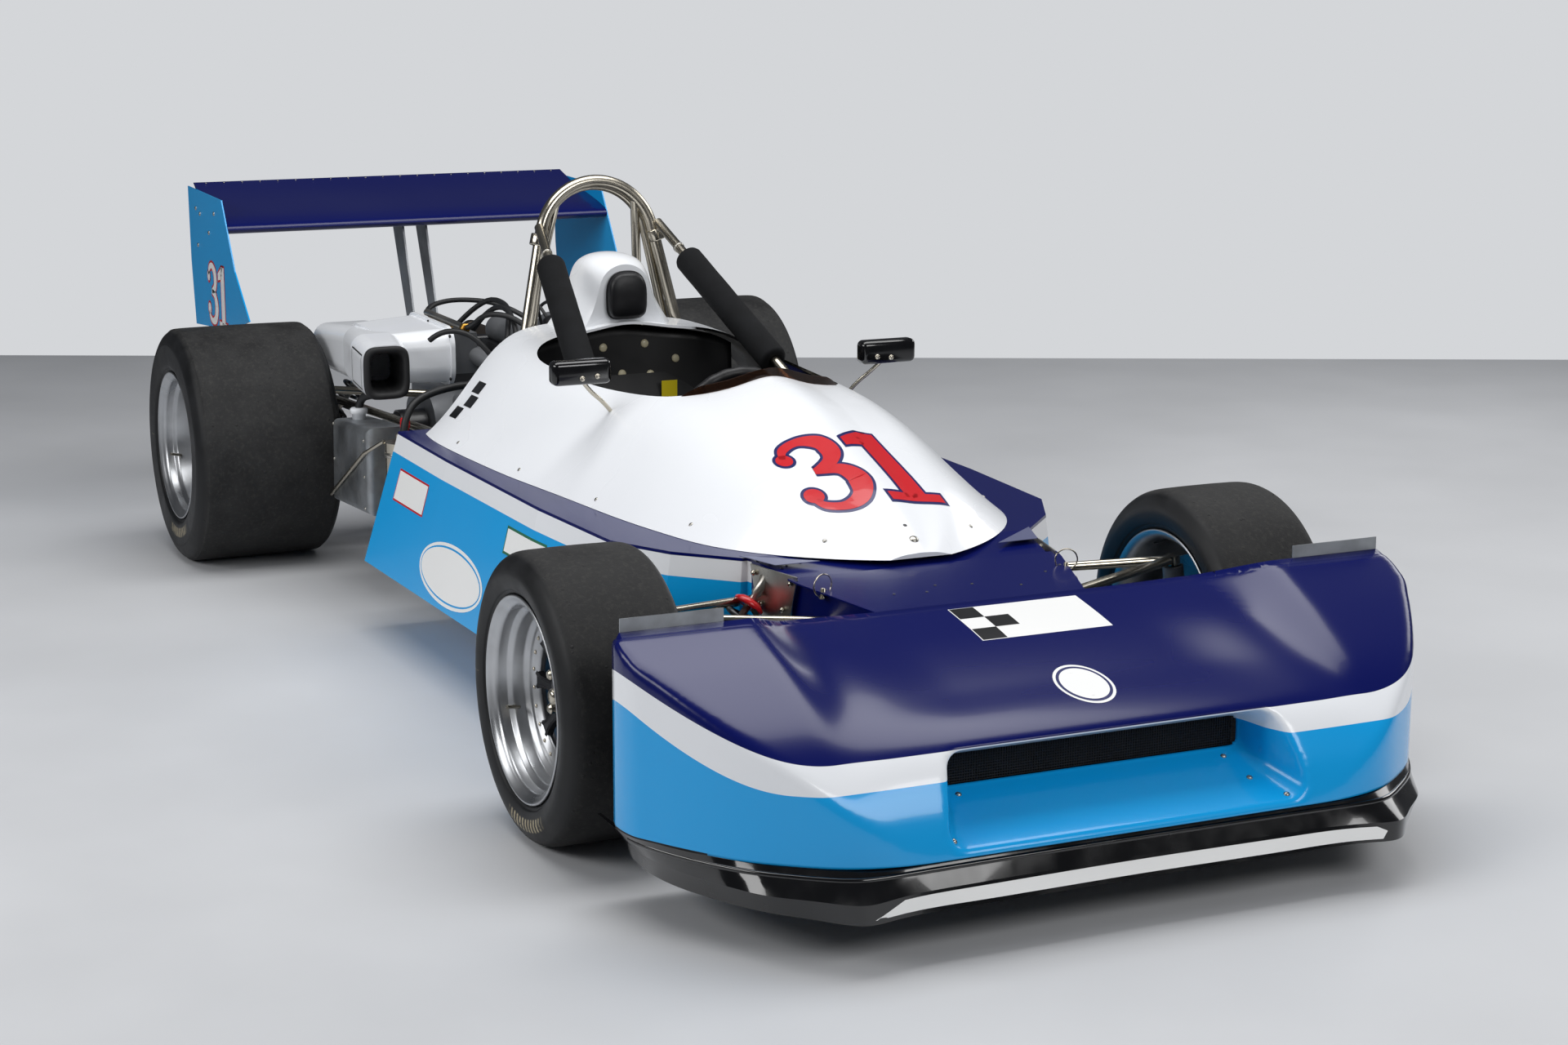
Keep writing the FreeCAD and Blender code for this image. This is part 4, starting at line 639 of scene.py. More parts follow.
def weave_tree():
    """Wires across and up a flat frame, as woven mesh."""
    names = [
        ("Width", "Float", 0.58), ("Height", "Float", 0.05), ("Pitch", "Float", 0.005),
        ("Wire", "Float", 0.0006), ("Middle", "Vector", None), ("Material", "Material", None),
    ]
    tree, given, end = tree_with("woven_mesh", names)
    ring = add(tree, "GeometryNodeCurvePrimitiveCircle", {"Resolution": 5, "Radius": given["Wire"]})
    sets = []
    for span, across, axis in (("Width", "Height", 1), ("Height", "Width", 2)):
        half = add(tree, "ShaderNodeMath", {0: given[span], 1: 0.5}, TIMES)
        back = add(tree, "ShaderNodeMath", {0: half, 1: -1.0}, TIMES)
        a = add(tree, "ShaderNodeCombineXYZ", {axis: back})
        b = add(tree, "ShaderNodeCombineXYZ", {axis: half})
        line = add(tree, "GeometryNodeCurvePrimitiveLine", {"Start": a, "End": b})
        wire = add(tree, "GeometryNodeCurveToMesh", {"Curve": line, "Profile Curve": ring})
        count = add(tree, "ShaderNodeMath", {0: given[across], 1: given["Pitch"]}, {"operation": "DIVIDE"})
        reach = add(tree, "ShaderNodeMath", {0: given[across], 1: -0.5}, TIMES)
        first = add(tree, "ShaderNodeCombineXYZ", {3 - axis: reach})
        step = add(tree, "ShaderNodeCombineXYZ", {3 - axis: given["Pitch"]})
        dots = add(tree, "GeometryNodeMeshLine", {"Count": count, "Start Location": first, "Offset": step})
        placed = add(tree, "GeometryNodeInstanceOnPoints", {"Points": dots, "Instance": wire})
        sets.append(placed.outputs[0])
    both = add(tree, "GeometryNodeJoinGeometry")
    for one in sets:
        tree.links.new(one, both.inputs[0])
    moved = add(tree, "GeometryNodeTransform", {"Geometry": both, "Translation": given["Middle"]})
    closing(tree, given, end, moved)
    return tree


def spring_tree():
    """A coil of round wire between two points."""
    names = [
        ("Radius", "Float", 0.03), ("Wire", "Float", 0.005), ("Turns", "Float", 7.0),
        ("Length", "Float", 0.2),
    ]
    names += [("Base", "Vector", None), ("Along", "Vector", None), ("Material", "Material", None)]
    tree, given, end = tree_with("coil_spring", names)
    links = {
        "Resolution": 28, "Rotations": given["Turns"], "Start Radius": given["Radius"],
        "End Radius": given["Radius"], "Height": given["Length"],
    }
    coil = add(tree, "GeometryNodeCurveSpiral", links)
    ring = add(tree, "GeometryNodeCurvePrimitiveCircle", {"Resolution": 8, "Radius": given["Wire"]})
    wire = add(tree, "GeometryNodeCurveToMesh", {"Curve": coil, "Profile Curve": ring, "Fill Caps": True})
    turn = add(tree, "FunctionNodeAlignRotationToVector", {"Vector": given["Along"]}, {"axis": "Z"})
    moved = add(
        tree, "GeometryNodeTransform", {"Geometry": wire, "Translation": given["Base"], "Rotation": turn},
    )
    smooth = add(tree, "GeometryNodeSetShadeSmooth", {"Geometry": moved})
    closing(tree, given, end, smooth)
    return tree


def grown(name, mesh, tree, values):
    """Runs a tree on a mesh and keeps the result as a plain mesh."""
    holder = in_scene(name + "_seed", mesh)
    modifier = holder.modifiers.new("grow", "NODES")
    modifier.node_group = tree
    for item in tree.interface.items_tree:
        if item.in_out == "INPUT" and item.name in values:
            modifier[item.identifier] = values[item.name]
    result = baked(holder)
    bpy.data.objects.remove(holder)
    return in_scene(name, result)


heads = fastener_tree()
rings = ring_tree()
weave = weave_tree()
coils = spring_tree()


def fasteners(name, places, radius_mm, finish, body, rise=0.5):
    """Domed heads at (place, outward direction) pairs."""
    mesh = new_mesh(name + "_places", [p for p, d in places], [])
    aim = mesh.attributes.new("aim", "FLOAT_VECTOR", "POINT")
    for i, (p, d) in enumerate(places):
        aim.data[i].vector = Vector(d).normalized()
    made = grown(name, mesh, heads, {"Radius": radius_mm / 1000, "Rise": rise, "Material": finish.material})
    return finish_piece(made, finish, body)


def faces_of(mesh):
    """A mesh's faces, for finding places on them."""
    faces = [tuple(f.vertices) for f in mesh.polygons]
    return BVHTree.FromPolygons([v.co.copy() for v in mesh.vertices], faces)


surfaces = {}


def surface_of(node):
    """A CAD node's faces, read once; the nose has its new skin's."""
    if node not in surfaces:
        mesh = nodes[node].data
        mesh.calc_loop_triangles()
        faces = [tuple(t.vertices) for t in mesh.loop_triangles]
        surfaces[node] = BVHTree.FromPolygons([v.co.copy() for v in mesh.vertices], faces)
    return surfaces[node]


def decal(name, node, outlines, frame_at, right, up, finish, lift_mm=0.6, fineness=0.012):
    """A thin film, cut to outlines in metres right and up of a place, pressed straight onto a node."""
    work = bmesh.new()
    toward = right.cross(up).normalized()
    skin = surface_of(node)
    for outline in outlines:
        ring = [work.verts.new(frame_at + right * a + up * b) for a, b in outline]
        work.faces.new(ring)
    bmesh.ops.triangulate(work, faces=work.faces)
    for turn in range(8):
        long = [e for e in work.edges if e.calc_length() > fineness]
        if not long:
            break
        bmesh.ops.subdivide_edges(work, edges=long, cuts=1)
        bmesh.ops.triangulate(work, faces=work.faces)
    for v in work.verts:
        found = skin.ray_cast(v.co + toward * 0.3, -toward)
        if found[0] is None:
            found = skin.find_nearest(v.co)
        v.co = found[0] + found[1] * (lift_mm / 1000)
    bmesh.ops.recalc_face_normals(work, faces=work.faces)
    made = from_work(name, work)
    if sum(p.normal.dot(toward) for p in made.data.polygons) < 0:
        made.data.flip_normals()
    return finish_piece(made, finish, "chassis")


def box_outline(x1, x2, y1, y2):
    """A film's outline as a box, in metres."""
    return [(x1, y1), (x2, y1), (x2, y2), (x1, y2)]


def oval_outline(cx, cy, rx, ry, steps=48):
    """A film's outline as an oval round a centre, in metres."""
    return [
        (cx + rx * math.cos(2 * math.pi * i / steps), cy + ry * math.sin(2 * math.pi * i / steps))
        for i in range(steps)
    ]


# Camera, floor and light
camera_data = bpy.data.cameras.new("photo_camera")
camera_data.lens = 64.04
camera_data.sensor_width = 36.0
camera_data.clip_end = 100.0
camera = in_scene("photo_camera", camera_data)
camera.location = (4.3628 + FRONT_AXLE, -2.2896, 1.5719)
camera.rotation_euler = (1.35654, -0.00297, 1.13580)
bpy.context.scene.camera = camera


def plain_floor():
    """A pale studio floor, square to the camera's view."""
    away = Vector((-0.9070, 0.4211, 0.0))
    aside = Vector((0.4211, 0.9070, 0.0))
    corners = [away * a + aside * b for a, b in ((-3.6, -6.0), (-3.6, 6.0), (4.0, 6.0), (4.0, -6.0))]
    floor = in_scene("studio_floor", new_mesh("studio_floor", corners, [(0, 1, 2, 3)]))
    finish = Finish("pale_studio_floor", "#c3c4c6", 0.55)
    finish.stained(finish.patches(900.0, (0.35, 0.7), (0.0, 1.0), 6.0), "#cbccce")
    finish.set("Roughness", finish.patches(900.0, (0.3, 0.7), (0.5, 0.62), 6.0))
    floor.data.materials.append(finish.material)


plain_floor()
world = bpy.data.worlds.new("studio")
bpy.context.scene.world = world
world.use_nodes = True
air = world.node_tree
sky = air.nodes["Background"]
ray = add(air, "ShaderNodeLightPath")
seen = {0: ray.outputs["Is Camera Ray"], 1: ray.outputs["Is Transmission Ray"]}
seen = add(air, "ShaderNodeMath", seen, HIGHER)
pale = add(air, "ShaderNodeMix", {0: seen, 6: linear("#b4b8bf"), 7: linear("#d4d6d9")}, COLOURS)
air.links.new(pale.outputs[2], sky.inputs["Color"])
dim = {0: ray.outputs["Is Glossy Ray"], 1: -0.28, 2: 0.42}
dim = add(air, "ShaderNodeMath", dim, {"operation": "MULTIPLY_ADD"})
level = add(air, "ShaderNodeMix", {0: seen, 2: dim, 3: 1.0})
air.links.new(level.outputs[0], sky.inputs["Strength"])


def softbox(name, place, target, width, depth, watts):
    """A large soft lamp that faces a target."""
    data = bpy.data.lights.new(name, "AREA")
    data.shape = "RECTANGLE"
    data.size = width
    data.size_y = depth
    data.energy = watts
    made = in_scene(name, data)
    made.location = place
    made.rotation_euler = (Vector(target) - Vector(place)).to_track_quat("-Z", "Y").to_euler()


softbox("overhead_softbox", (0.4, 0.0, 4.2), (0.2, 0.0, 0.0), 5.0, 2.6, 150)
softbox("front_softbox", (5.2, 0.8, 2.8), (0.8, 0.0, 0.4), 2.6, 1.6, 70)
softbox("right_softbox", (0.8, -4.6, 2.6), (0.0, 0.0, 0.4), 4.0, 1.4, 90)
softbox("left_softbox", (-0.5, 4.6, 2.8), (0.0, 0.0, 0.4), 4.0, 1.4, 60)
bpy.context.scene.view_settings.view_transform = "Standard"

# CAD nodes that keep their shape
finishes = {
    "tub": tub_paint, "scuttle_panel": navy_paint, "cowl": cowl_paint, "headrest_fairing": white_paint,
    "headrest_pad": leather, "nose": nose_paint, "grille": black_plastic, "radiator": core_metal,
    "splitter": black_gelcoat, "nose_tabs": plate_metal, "mirrors": gloss_plastic, "roll_hoop": nickel,
    "brace_pad_left": foam, "brace_pad_right": foam, "windscreen": tinted, "seat": black_plastic,
    "intake_lip": soft_rubber, "steering_wheel": leather, "steering_mounts": plate_metal,
    "front_wishbones": nickel, "front_springs": steel, "steering_rack": steel,
    "front_upright_left": cast_metal, "front_upright_right": cast_metal, "engine_block": iron,
    "cam_covers": cast_metal, "airbox": white_paint, "inlet_runners": cast_metal, "exhaust": exhaust_metal,
    "gearbox": cast_metal, "oil_tank": tank_metal, "catch_tank": nickel, "rear_uprights": cast_metal,
    "driveshaft_left": black_steel, "driveshaft_right": black_steel, "rear_links": nickel,
    "rear_springs": steel,
    "rear_beam": black_steel, "wing_plane": navy_paint, "wing_plates": blue_paint, "wing_post": plate_metal,
}
for end in ("front", "rear"):
    for side in ("left", "right"):
        finishes["%s_rim_%s" % (end, side)] = rim_metal
        finishes["%s_tyre_%s" % (end, side)] = rubber
        finishes["%s_hub_%s" % (end, side)] = disc_metal
for word, finish in finishes.items():
    nodes[word].data.materials.clear()
    nodes[word].data.materials.append(finish.material)

# Wheels: the axle's place, half the track, radius, and half the width of the tyre and of the rim
WHEELS = {
    "front": (FRONT_AXLE, 0.643, 0.257, 0.119, 0.113), "rear": (REAR_AXLE, 0.623, 0.2885, 0.180, 0.174)
}
RIM = 0.182


def smooth_line(points, per_span=6):
    """A rounded line through the points, with so many steps from each to the next."""
    out = []
    ends = [points[0]] + list(points) + [points[-1]]
    for a, b, c, d in zip(ends, ends[1:], ends[2:], ends[3:]):
        for i in range(per_span):
            t = i / per_span
            place = []
            for k in (0, 1):
                first = c[k] - a[k]
                second = 2 * a[k] - 5 * b[k] + 4 * c[k] - d[k]
                third = 3 * b[k] - a[k] - 3 * c[k] + d[k]
                place.append(0.5 * (2 * b[k] + first * t + second * t * t + third * t ** 3))
            out.append(tuple(place))
    out.append(points[-1])
    return out


def wheel_place(end, side):
    """The wheel's centre, the body it rides on, and 1 on the left or -1 on the right."""
    axle, track, radius = WHEELS[end][:3]
    hand = 1 if side == "left" else -1
    return (axle, hand * track, radius), "%s_wheel_%s" % (end, side), hand


def slick(end, side):
    """The tyre, with how worn each point is, and its reach and turn, for the rubber to read."""
    radius, half, rim_half = WHEELS[end][2:]
    centre, body, hand = wheel_place(end, side)
    bead = RIM - 0.015
    shoulder = half - (0.036 if end == "front" else 0.032)
    half_line = [
        (bead + 0.001, rim_half - 0.0135), (bead + 0.010, rim_half - 0.011),
        (bead + 0.018, rim_half - 0.004), (bead + 0.023, rim_half - 0.0015), (bead + 0.026, half - 0.0045),
        (bead + 0.036, half - 0.0015), (radius - 0.044, half), (radius - 0.040, half),
        (radius - 0.030, half - 0.0025), (radius - 0.014, half - 0.011), (radius - 0.0055, half - 0.0215),
        (radius - 0.0014, shoulder), (radius - 0.0004, shoulder * 0.6), (radius, shoulder * 0.25),
        (radius, 0.0),
    ]
    line = smooth_line(half_line, 5)
    line = [(min(r, radius), min(a, half)) for r, a in line]
    whole = line + [(r, -a) for r, a in reversed(line[:-1])]
    inner = [(bead + 0.001, -(rim_half - 0.03)), (bead + 0.001, rim_half - 0.03)]
    verts, faces = turned(whole + inner, centre, hand, 144)
    replaced = ["%s_tyre_%s" % (end, side)]
    made = piece("%s_slick_%s" % (end, side), verts, faces, rubber, body, replaced)
    outward(made)
    marks = [made.data.attributes.new(word, "FLOAT", "POINT") for word in ("worn", "reach", "turn")]
    for i, v in enumerate(made.data.vertices):
        reach = math.hypot(v.co.x - centre[0], v.co.z - centre[2])
        marks[0].data[i].value = min(1.0, max(0.0, (reach - radius + 0.011) / 0.007))
        marks[1].data[i].value = reach
        marks[2].data[i].value = math.atan2(v.co.z - centre[2], v.co.x - centre[0])


def spoke_mesh(centre, hand, face_along):
    """One cast spoke with raised edges, drawn at the top of the wheel."""
    verts = []
    rows = [
        (0.046, 0.0150, 0.000), (0.060, 0.0120, 0.003), (0.080, 0.0095, 0.006), (0.100, 0.0105, 0.009),
        (0.114, 0.0165, 0.011),
    ]
    section = [
        (-1.0, 0.0), (-0.75, 0.003), (-0.4, 0.0005), (0.4, 0.0005), (0.75, 0.003), (1.0, 0.0),
        (1.0, -0.011), (-1.0, -0.011),
    ]
    for reach, half_wide, rise in rows:
        for across, lift in section:
            x = centre[0] + across * half_wide
            verts.append((x, centre[1] + hand * (face_along + rise + lift), centre[2] + reach))
    faces = ring_faces(len(rows), len(section))
    faces.append(tuple(range(7, -1, -1)))
    faces.append(tuple(range(32, 40)))
    mesh = new_mesh("spoke", verts, faces)
    work = bmesh.new()
    work.from_mesh(mesh)
    bmesh.ops.recalc_face_normals(work, faces=work.faces)
    work.to_mesh(mesh)
    work.free()
    return mesh


def split_rim(end, side):
    """The rim in two turned halves, with its cast spokes, hub, bolts, nuts, cap and valve."""
    e = WHEELS[end][4]
    centre, body, hand = wheel_place(end, side)
    face = 0.030  # The spokes' outer face, from the wheel's middle
    ring_of_bolts = 0.128
    ring_of_nuts = 0.043

    def ring_piece(name, profile, finish, steps, at=centre, smooth=True):
        verts, faces = turned(profile, at, hand, steps)
        return outward(piece(name, verts, faces, finish, body, smooth=smooth))

    dish = [
        (RIM, e - 0.001), (RIM - 0.0015, e), (RIM - 0.004, e - 0.0005), (RIM - 0.008, e - 0.006),
        (RIM - 0.014, e - 0.010), (RIM - 0.0185, e - 0.013), (RIM - 0.0200, e - 0.018),
        (RIM - 0.0205, e - 0.031), (RIM - 0.022, e - 0.033), (RIM - 0.030, e - 0.037),
        (RIM - 0.0325, e - 0.041), (RIM - 0.0330, face + 0.026), (RIM - 0.0345, face + 0.022),
        (RIM - 0.043, face + 0.019), (RIM - 0.045, face + 0.015), (RIM - 0.0455, face + 0.011),
        (0.112, face + 0.0105), (0.112, face - 0.004), (RIM - 0.045, face - 0.004),
        (RIM - 0.0405, face + 0.004), (RIM - 0.036, face + 0.010), (RIM - 0.0290, face + 0.020),
        (RIM - 0.0285, e - 0.043), (RIM - 0.017, e - 0.033), (RIM - 0.0165, e - 0.016),
        (RIM - 0.015, e - 0.013), (RIM - 0.003, e - 0.0065), (RIM, e - 0.005),
    ]
    parts = [ring_piece("rim_outer", dish, rim_metal, 128)]
    inner = [
        (RIM - 0.045, face - 0.0045), (RIM - 0.034, face - 0.012), (RIM - 0.030, face - 0.04),
        (RIM - 0.022, face - 0.055), (RIM - 0.0205, 0.020 - e), (RIM - 0.013, 0.010 - e),
        (RIM - 0.003, 0.0005 - e), (RIM, 0.003 - e), (RIM - 0.003, 0.007 - e), (RIM - 0.0155, 0.014 - e),
        (RIM - 0.0165, 0.020 - e), (RIM - 0.0185, face - 0.055), (RIM - 0.0265, face - 0.04),
        (RIM - 0.031, face - 0.009), (RIM - 0.040, face + 0.0035),
    ]
    parts.append(ring_piece("rim_inner", inner, rim_metal, 96))
    disc = [
        (0.0, face - 0.014), (0.0, face - 0.002), (0.034, face - 0.002), (0.037, face + 0.001),
        (0.050, face + 0.001), (0.052, face - 0.002), (0.052, face - 0.014),
    ]
    parts.append(ring_piece("hub_disc", disc, spider_metal, 48))
    values = {"Count": 8, "Centre": centre, "Material": spider_metal.material}
    spokes = grown("spokes", spoke_mesh(centre, hand, face), rings, values)
    parts.append(finish_piece(spokes, spider_metal, body, smooth=False))
    ring = []
    for i in range(24):
        turn = 2 * math.pi * (i + 0.5) / 24
        ring.append((round_axle(centre, ring_of_bolts, turn, hand * (face + 0.011)), (0, hand, 0)))
    parts.append(fasteners("rim_bolts", ring, 4.0, nickel, body, 0.9))
    nut = [
        (0.0, face + 0.022), (0.006, face + 0.022), (0.0095, face + 0.018), (0.0095, face + 0.004),
        (0.013, face + 0.001), (0.0, face + 0.001),
    ]
    nuts = []
    for i in range(4):
        at = round_axle(centre, ring_of_nuts, 2 * math.pi * (i + 0.5) / 4)
        nuts.append(ring_piece("wheel_nut", nut, nickel, 12, at, smooth=False))
    cap = [
        (0.0, face + 0.030), (0.010, face + 0.030), (0.014, face + 0.026), (0.014, face + 0.006),
        (0.022, face), (0.0, face),
    ]
    parts.append(ring_piece("hub_cap", cap, nickel, 24))
    stem = [(-0.135, e - 0.045, -0.052), (-0.123, e - 0.035, -0.047), (-0.113, e - 0.015, -0.043)]
    stem = [Vector(centre) + Vector((x, hand * y, z)) for x, y, z in stem]
    parts.append(tube("valve", stem, 0.0035, nickel, body))
    made = joined("%s_split_rim_%s" % (end, side), parts + nuts)
    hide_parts("%s_rim_%s" % (end, side))


for end in ("front", "rear"):
    for side in ("left", "right"):
        slick(end, side)
        split_rim(end, side)

# Woven mesh over the radiator
seed = new_mesh("mesh_seed", [(0, 0, 0)], [])
values = {
    "Width": 0.578, "Height": 0.050, "Pitch": 0.0046, "Wire": 0.0008, "Middle": spot(613, 0, 245),
    "Material": black_plastic.material,
}
mesh_panel = grown("duct_mesh", seed, weave, values)
finish_piece(mesh_panel, black_plastic, "chassis", ["grille"], smooth=False)

# Nose skin, in millimetres: sections swept across the width, the plan it is trimmed to, and the duct
NOSE_MID = [(772, 158), (748, 232), (686, 313), (560, 357), (420, 396), (281, 422)]
NOSE_DIP = [(772, 158), (750, 230), (694, 306), (590, 358), (460, 400), (300, 430)]
NOSE_WING = [(772, 158), (757, 218), (714, 282), (640, 345), (520, 412), (394, 467)]
NOSE_PLAN = [(774, 300), (768, 410), (746, 492), (698, 566), (628, 640), (510, 716), (430, 744), (180, 744)]
NOSE_DUCT = [
    (830, 366, 140, 348, 30), (765, 332, 164, 325, 30), (686, 299, 193, 297, 24), (612, 290, 219, 270, 12)
]


def ease(t):
    """From 0 to 1 with a soft start and end."""
    t = min(1.0, max(0.0, t))
    return t * t * (3 - 2 * t)


def nose_body():
    """The nose as one closed form, in millimetres from the front axle."""
    lines = [smooth_line(line, 12) for line in (NOSE_MID, NOSE_DIP, NOSE_WING)]
    plan = smooth_line(NOSE_PLAN, 12)

    def half_at(x):
        for (x1, y1), (x2, y2) in zip(plan, plan[1:]):
            if x1 >= x >= x2:
                return y1 + (y2 - y1) * (x1 - x) / max(0.001, x1 - x2)
        return 300.0 if x > 774 else 744.0

    def skin(i, y):
        mid, dip, wing = [line[i] for line in lines]
        a = ease((abs(y) - 210) / 190)
        b = ease((abs(y) - 390) / 120)
        return tuple((m + (d - m) * a) + (w - d) * b for m, d, w in zip(mid, dip, wing))

    rows = []
    for i in range(len(lines[0])):
        low, high = 250.0, 744.0
        for turn in range(30):
            y = (low + high) / 2
            if y < half_at(skin(i, y)[0]):
                low = y
            else:
                high = y
        row = []
        for k in range(-70, 71):
            y = high * k / 70
            x, z = skin(i, y)
            row.append((x, y, z))
        rows.append(row + [(x, y, 110.0) for x, y, z in reversed(row)])

    def rear(y):
        return skin(len(lines[0]) - 1, y)

    return rows, rear


def modified(made, kind, **settings):
    """Runs one modifier on a plain mesh and keeps its result."""
    step = made.modifiers.new(kind, kind)
    for word, value in settings.items():
        setattr(step, word, value)
    mesh = baked(made)
    made.modifiers.clear()
    made.data = mesh


def soft_ring(half, low, high, soft, steps=10):
    """A box's outline across the car with rounded corners, in millimetres."""
    corners = [
        (half - soft, high - soft, 0), (-half + soft, high - soft, 90), (-half + soft, low + soft, 180),
        (half - soft, low + soft, 270),
    ]
    out = []
    for y, z, start in corners:
        for k in range(steps + 1):
            angle = math.radians(start + 90 * k / steps)
            out.append((y + soft * math.cos(angle), z + soft * math.sin(angle)))
    return out


def nose_skin():
    """The nose's skin: its closed form with soft edges, the duct cut in, opened below and behind."""
    voxel = 0.0055
    rows, rear = nose_body()
    count = len(rows[0])
    verts = [spot(*p) for row in rows for p in row]
    faces = []
    for first in (0, (len(rows) - 1) * count):
        faces += [
            (first + k, first + k + 1, first + count - 2 - k, first + count - 1 - k)
            for k in range(count // 2 - 1)
        ]
    faces += ring_faces(len(rows), count)
    body = outward(in_scene("nose_form", new_mesh("nose_form", verts, faces)))
    modified(body, "REMESH", mode="VOXEL", voxel_size=voxel)
    modified(body, "SMOOTH", factor=0.5, iterations=22)
    plug = []
    for x, half, low, high, soft in NOSE_DUCT:
        plug.append([spot(x, y, z) for y, z in soft_ring(half, low, high, soft)])
    size = len(plug[0])
    faces = [tuple(range(size)), tuple(range((len(plug) - 1) * size, len(plug) * size))]
    faces += ring_faces(len(plug), size)
    duct = outward(in_scene("duct_form", new_mesh("duct_form", [v for ring in plug for v in ring], faces)))
    modified(body, "BOOLEAN", operation="DIFFERENCE", object=duct, solver="EXACT")
    bpy.data.objects.remove(duct)
    modified(body, "REMESH", mode="VOXEL", voxel_size=voxel)
    modified(body, "SMOOTH", factor=0.5, iterations=9)
    work = bmesh.new()
    work.from_mesh(body.data)
    low = spot(0, 0, 152.5).z
    bmesh.ops.bisect_plane(
        work, geom=list(work.verts) + list(work.edges) + list(work.faces), plane_co=(0, 0, low),
        plane_no=(0, 0, -1), clear_outer=True,
    )
    throat = spot(619, 0, 0).x
    gone = []
    for f in work.faces:
        middle = f.calc_center_median()
        behind = middle.x < spot(rear(middle.y * 1000)[0], 0, 0).x + 0.007
        duct_end = f.normal.x > 0.7 and middle.x < throat and abs(middle.y) < 0.3 and middle.z < 0.28
        if behind or duct_end:
            gone.append(f)
    bmesh.ops.delete(work, geom=gone, context="FACES")
    for v in work.verts:
        if v.is_boundary and v.co.z > low + 0.003 and v.co.x < spot(440, 0, 0).x:
            x, z = rear(v.co.y * 1000)
            v.co.x = spot(x, 0, 0).x
            if abs(v.co.y) < 0.73:
                v.co.z = z / 1000
    work.to_mesh(body.data)
    work.free()
    modified(body, "SOLIDIFY", thickness=0.004, offset=-1.0)
    body.name = "nose_skin"
    finish_piece(body, nose_paint, "chassis", ["nose"])
    surfaces["nose"] = faces_of(body.data)


nose_skin()

# Small builders for fittings
def lathe(name, profile, base, axis, finish, body="chassis", steps=24, smooth=True):
    """Turns (radius, height) points round an axis from a base; heights and radii in metres."""
    turn = Vector(axis).to_track_quat("Z", "Y").to_matrix()
    verts = []
    for i in range(steps):
        angle = math.tau * i / steps
        for radius, height in profile:
            verts.append(base + turn @ Vector((radius * math.cos(angle), radius * math.sin(angle), height)))
    faces = sheet_faces(steps, len(profile), closed=True)
    return outward(piece(name, verts, faces, finish, body, smooth=smooth))


def prism_piece(name, outline, thickness, finish, bevel=0.0008, body="chassis"):
    """A flat plate cut to an outline of 3-D points, thickened along its normal, with eased edges."""
    work = bmesh.new()
    ring = [work.verts.new(p) for p in outline]
    face = work.faces.new(ring)
    face.normal_update()
    lift = face.normal * thickness
    extra = bmesh.ops.extrude_face_region(work, geom=[face])
    bmesh.ops.translate(
        work, verts=[v for v in extra["geom"] if isinstance(v, bmesh.types.BMVert)], vec=lift
    )
    bmesh.ops.recalc_face_normals(work, faces=work.faces)
    if bevel:
        bmesh.ops.bevel(
            work, geom=list(work.edges), offset=bevel, segments=2, profile=0.6, affect="EDGES",
            clamp_overlap=True,
        )
    return finish_piece(from_work(name, work), finish, body, smooth=False)


def shell_box(name, low, high, bevel, finish, segments=5, body="chassis"):
    """A moulded block with well rounded edges."""
    work = bmesh.new()
    bmesh.ops.create_cube(work, size=1.0)
    for v in work.verts:
        v.co = Vector([(low[k] + high[k]) / 2 + v.co[k] * (high[k] - low[k]) for k in range(3)])
    bmesh.ops.bevel(
        work, geom=list(work.edges), offset=bevel, segments=segments, profile=0.5, affect="EDGES",
        clamp_overlap=True,
    )
    return finish_piece(from_work(name, work), finish, body)


def side_box(name, hand, low, high, bevel, finish, slot, segments=5):
    """A moulded block between two corners in millimetres, for the car's left or mirrored."""
    a, b = on_side(hand, (low, high))
    low = Vector([min(p, q) for p, q in zip(a, b)])
    high = Vector([max(p, q) for p, q in zip(a, b)])
    return shell_box(name, low, high, bevel, finish, segments)


def hose(name, places, radius, sides=8):
    """A rubber hose or lead through places in millimetres."""
    points = [spot(*p) for p in places]
    return tube(name, points, radius, hose_rubber, "chassis", sides=sides)


def flipped(p):
    """A place mirrored to the car's other side."""
    return Vector((p[0], -p[1], p[2]))


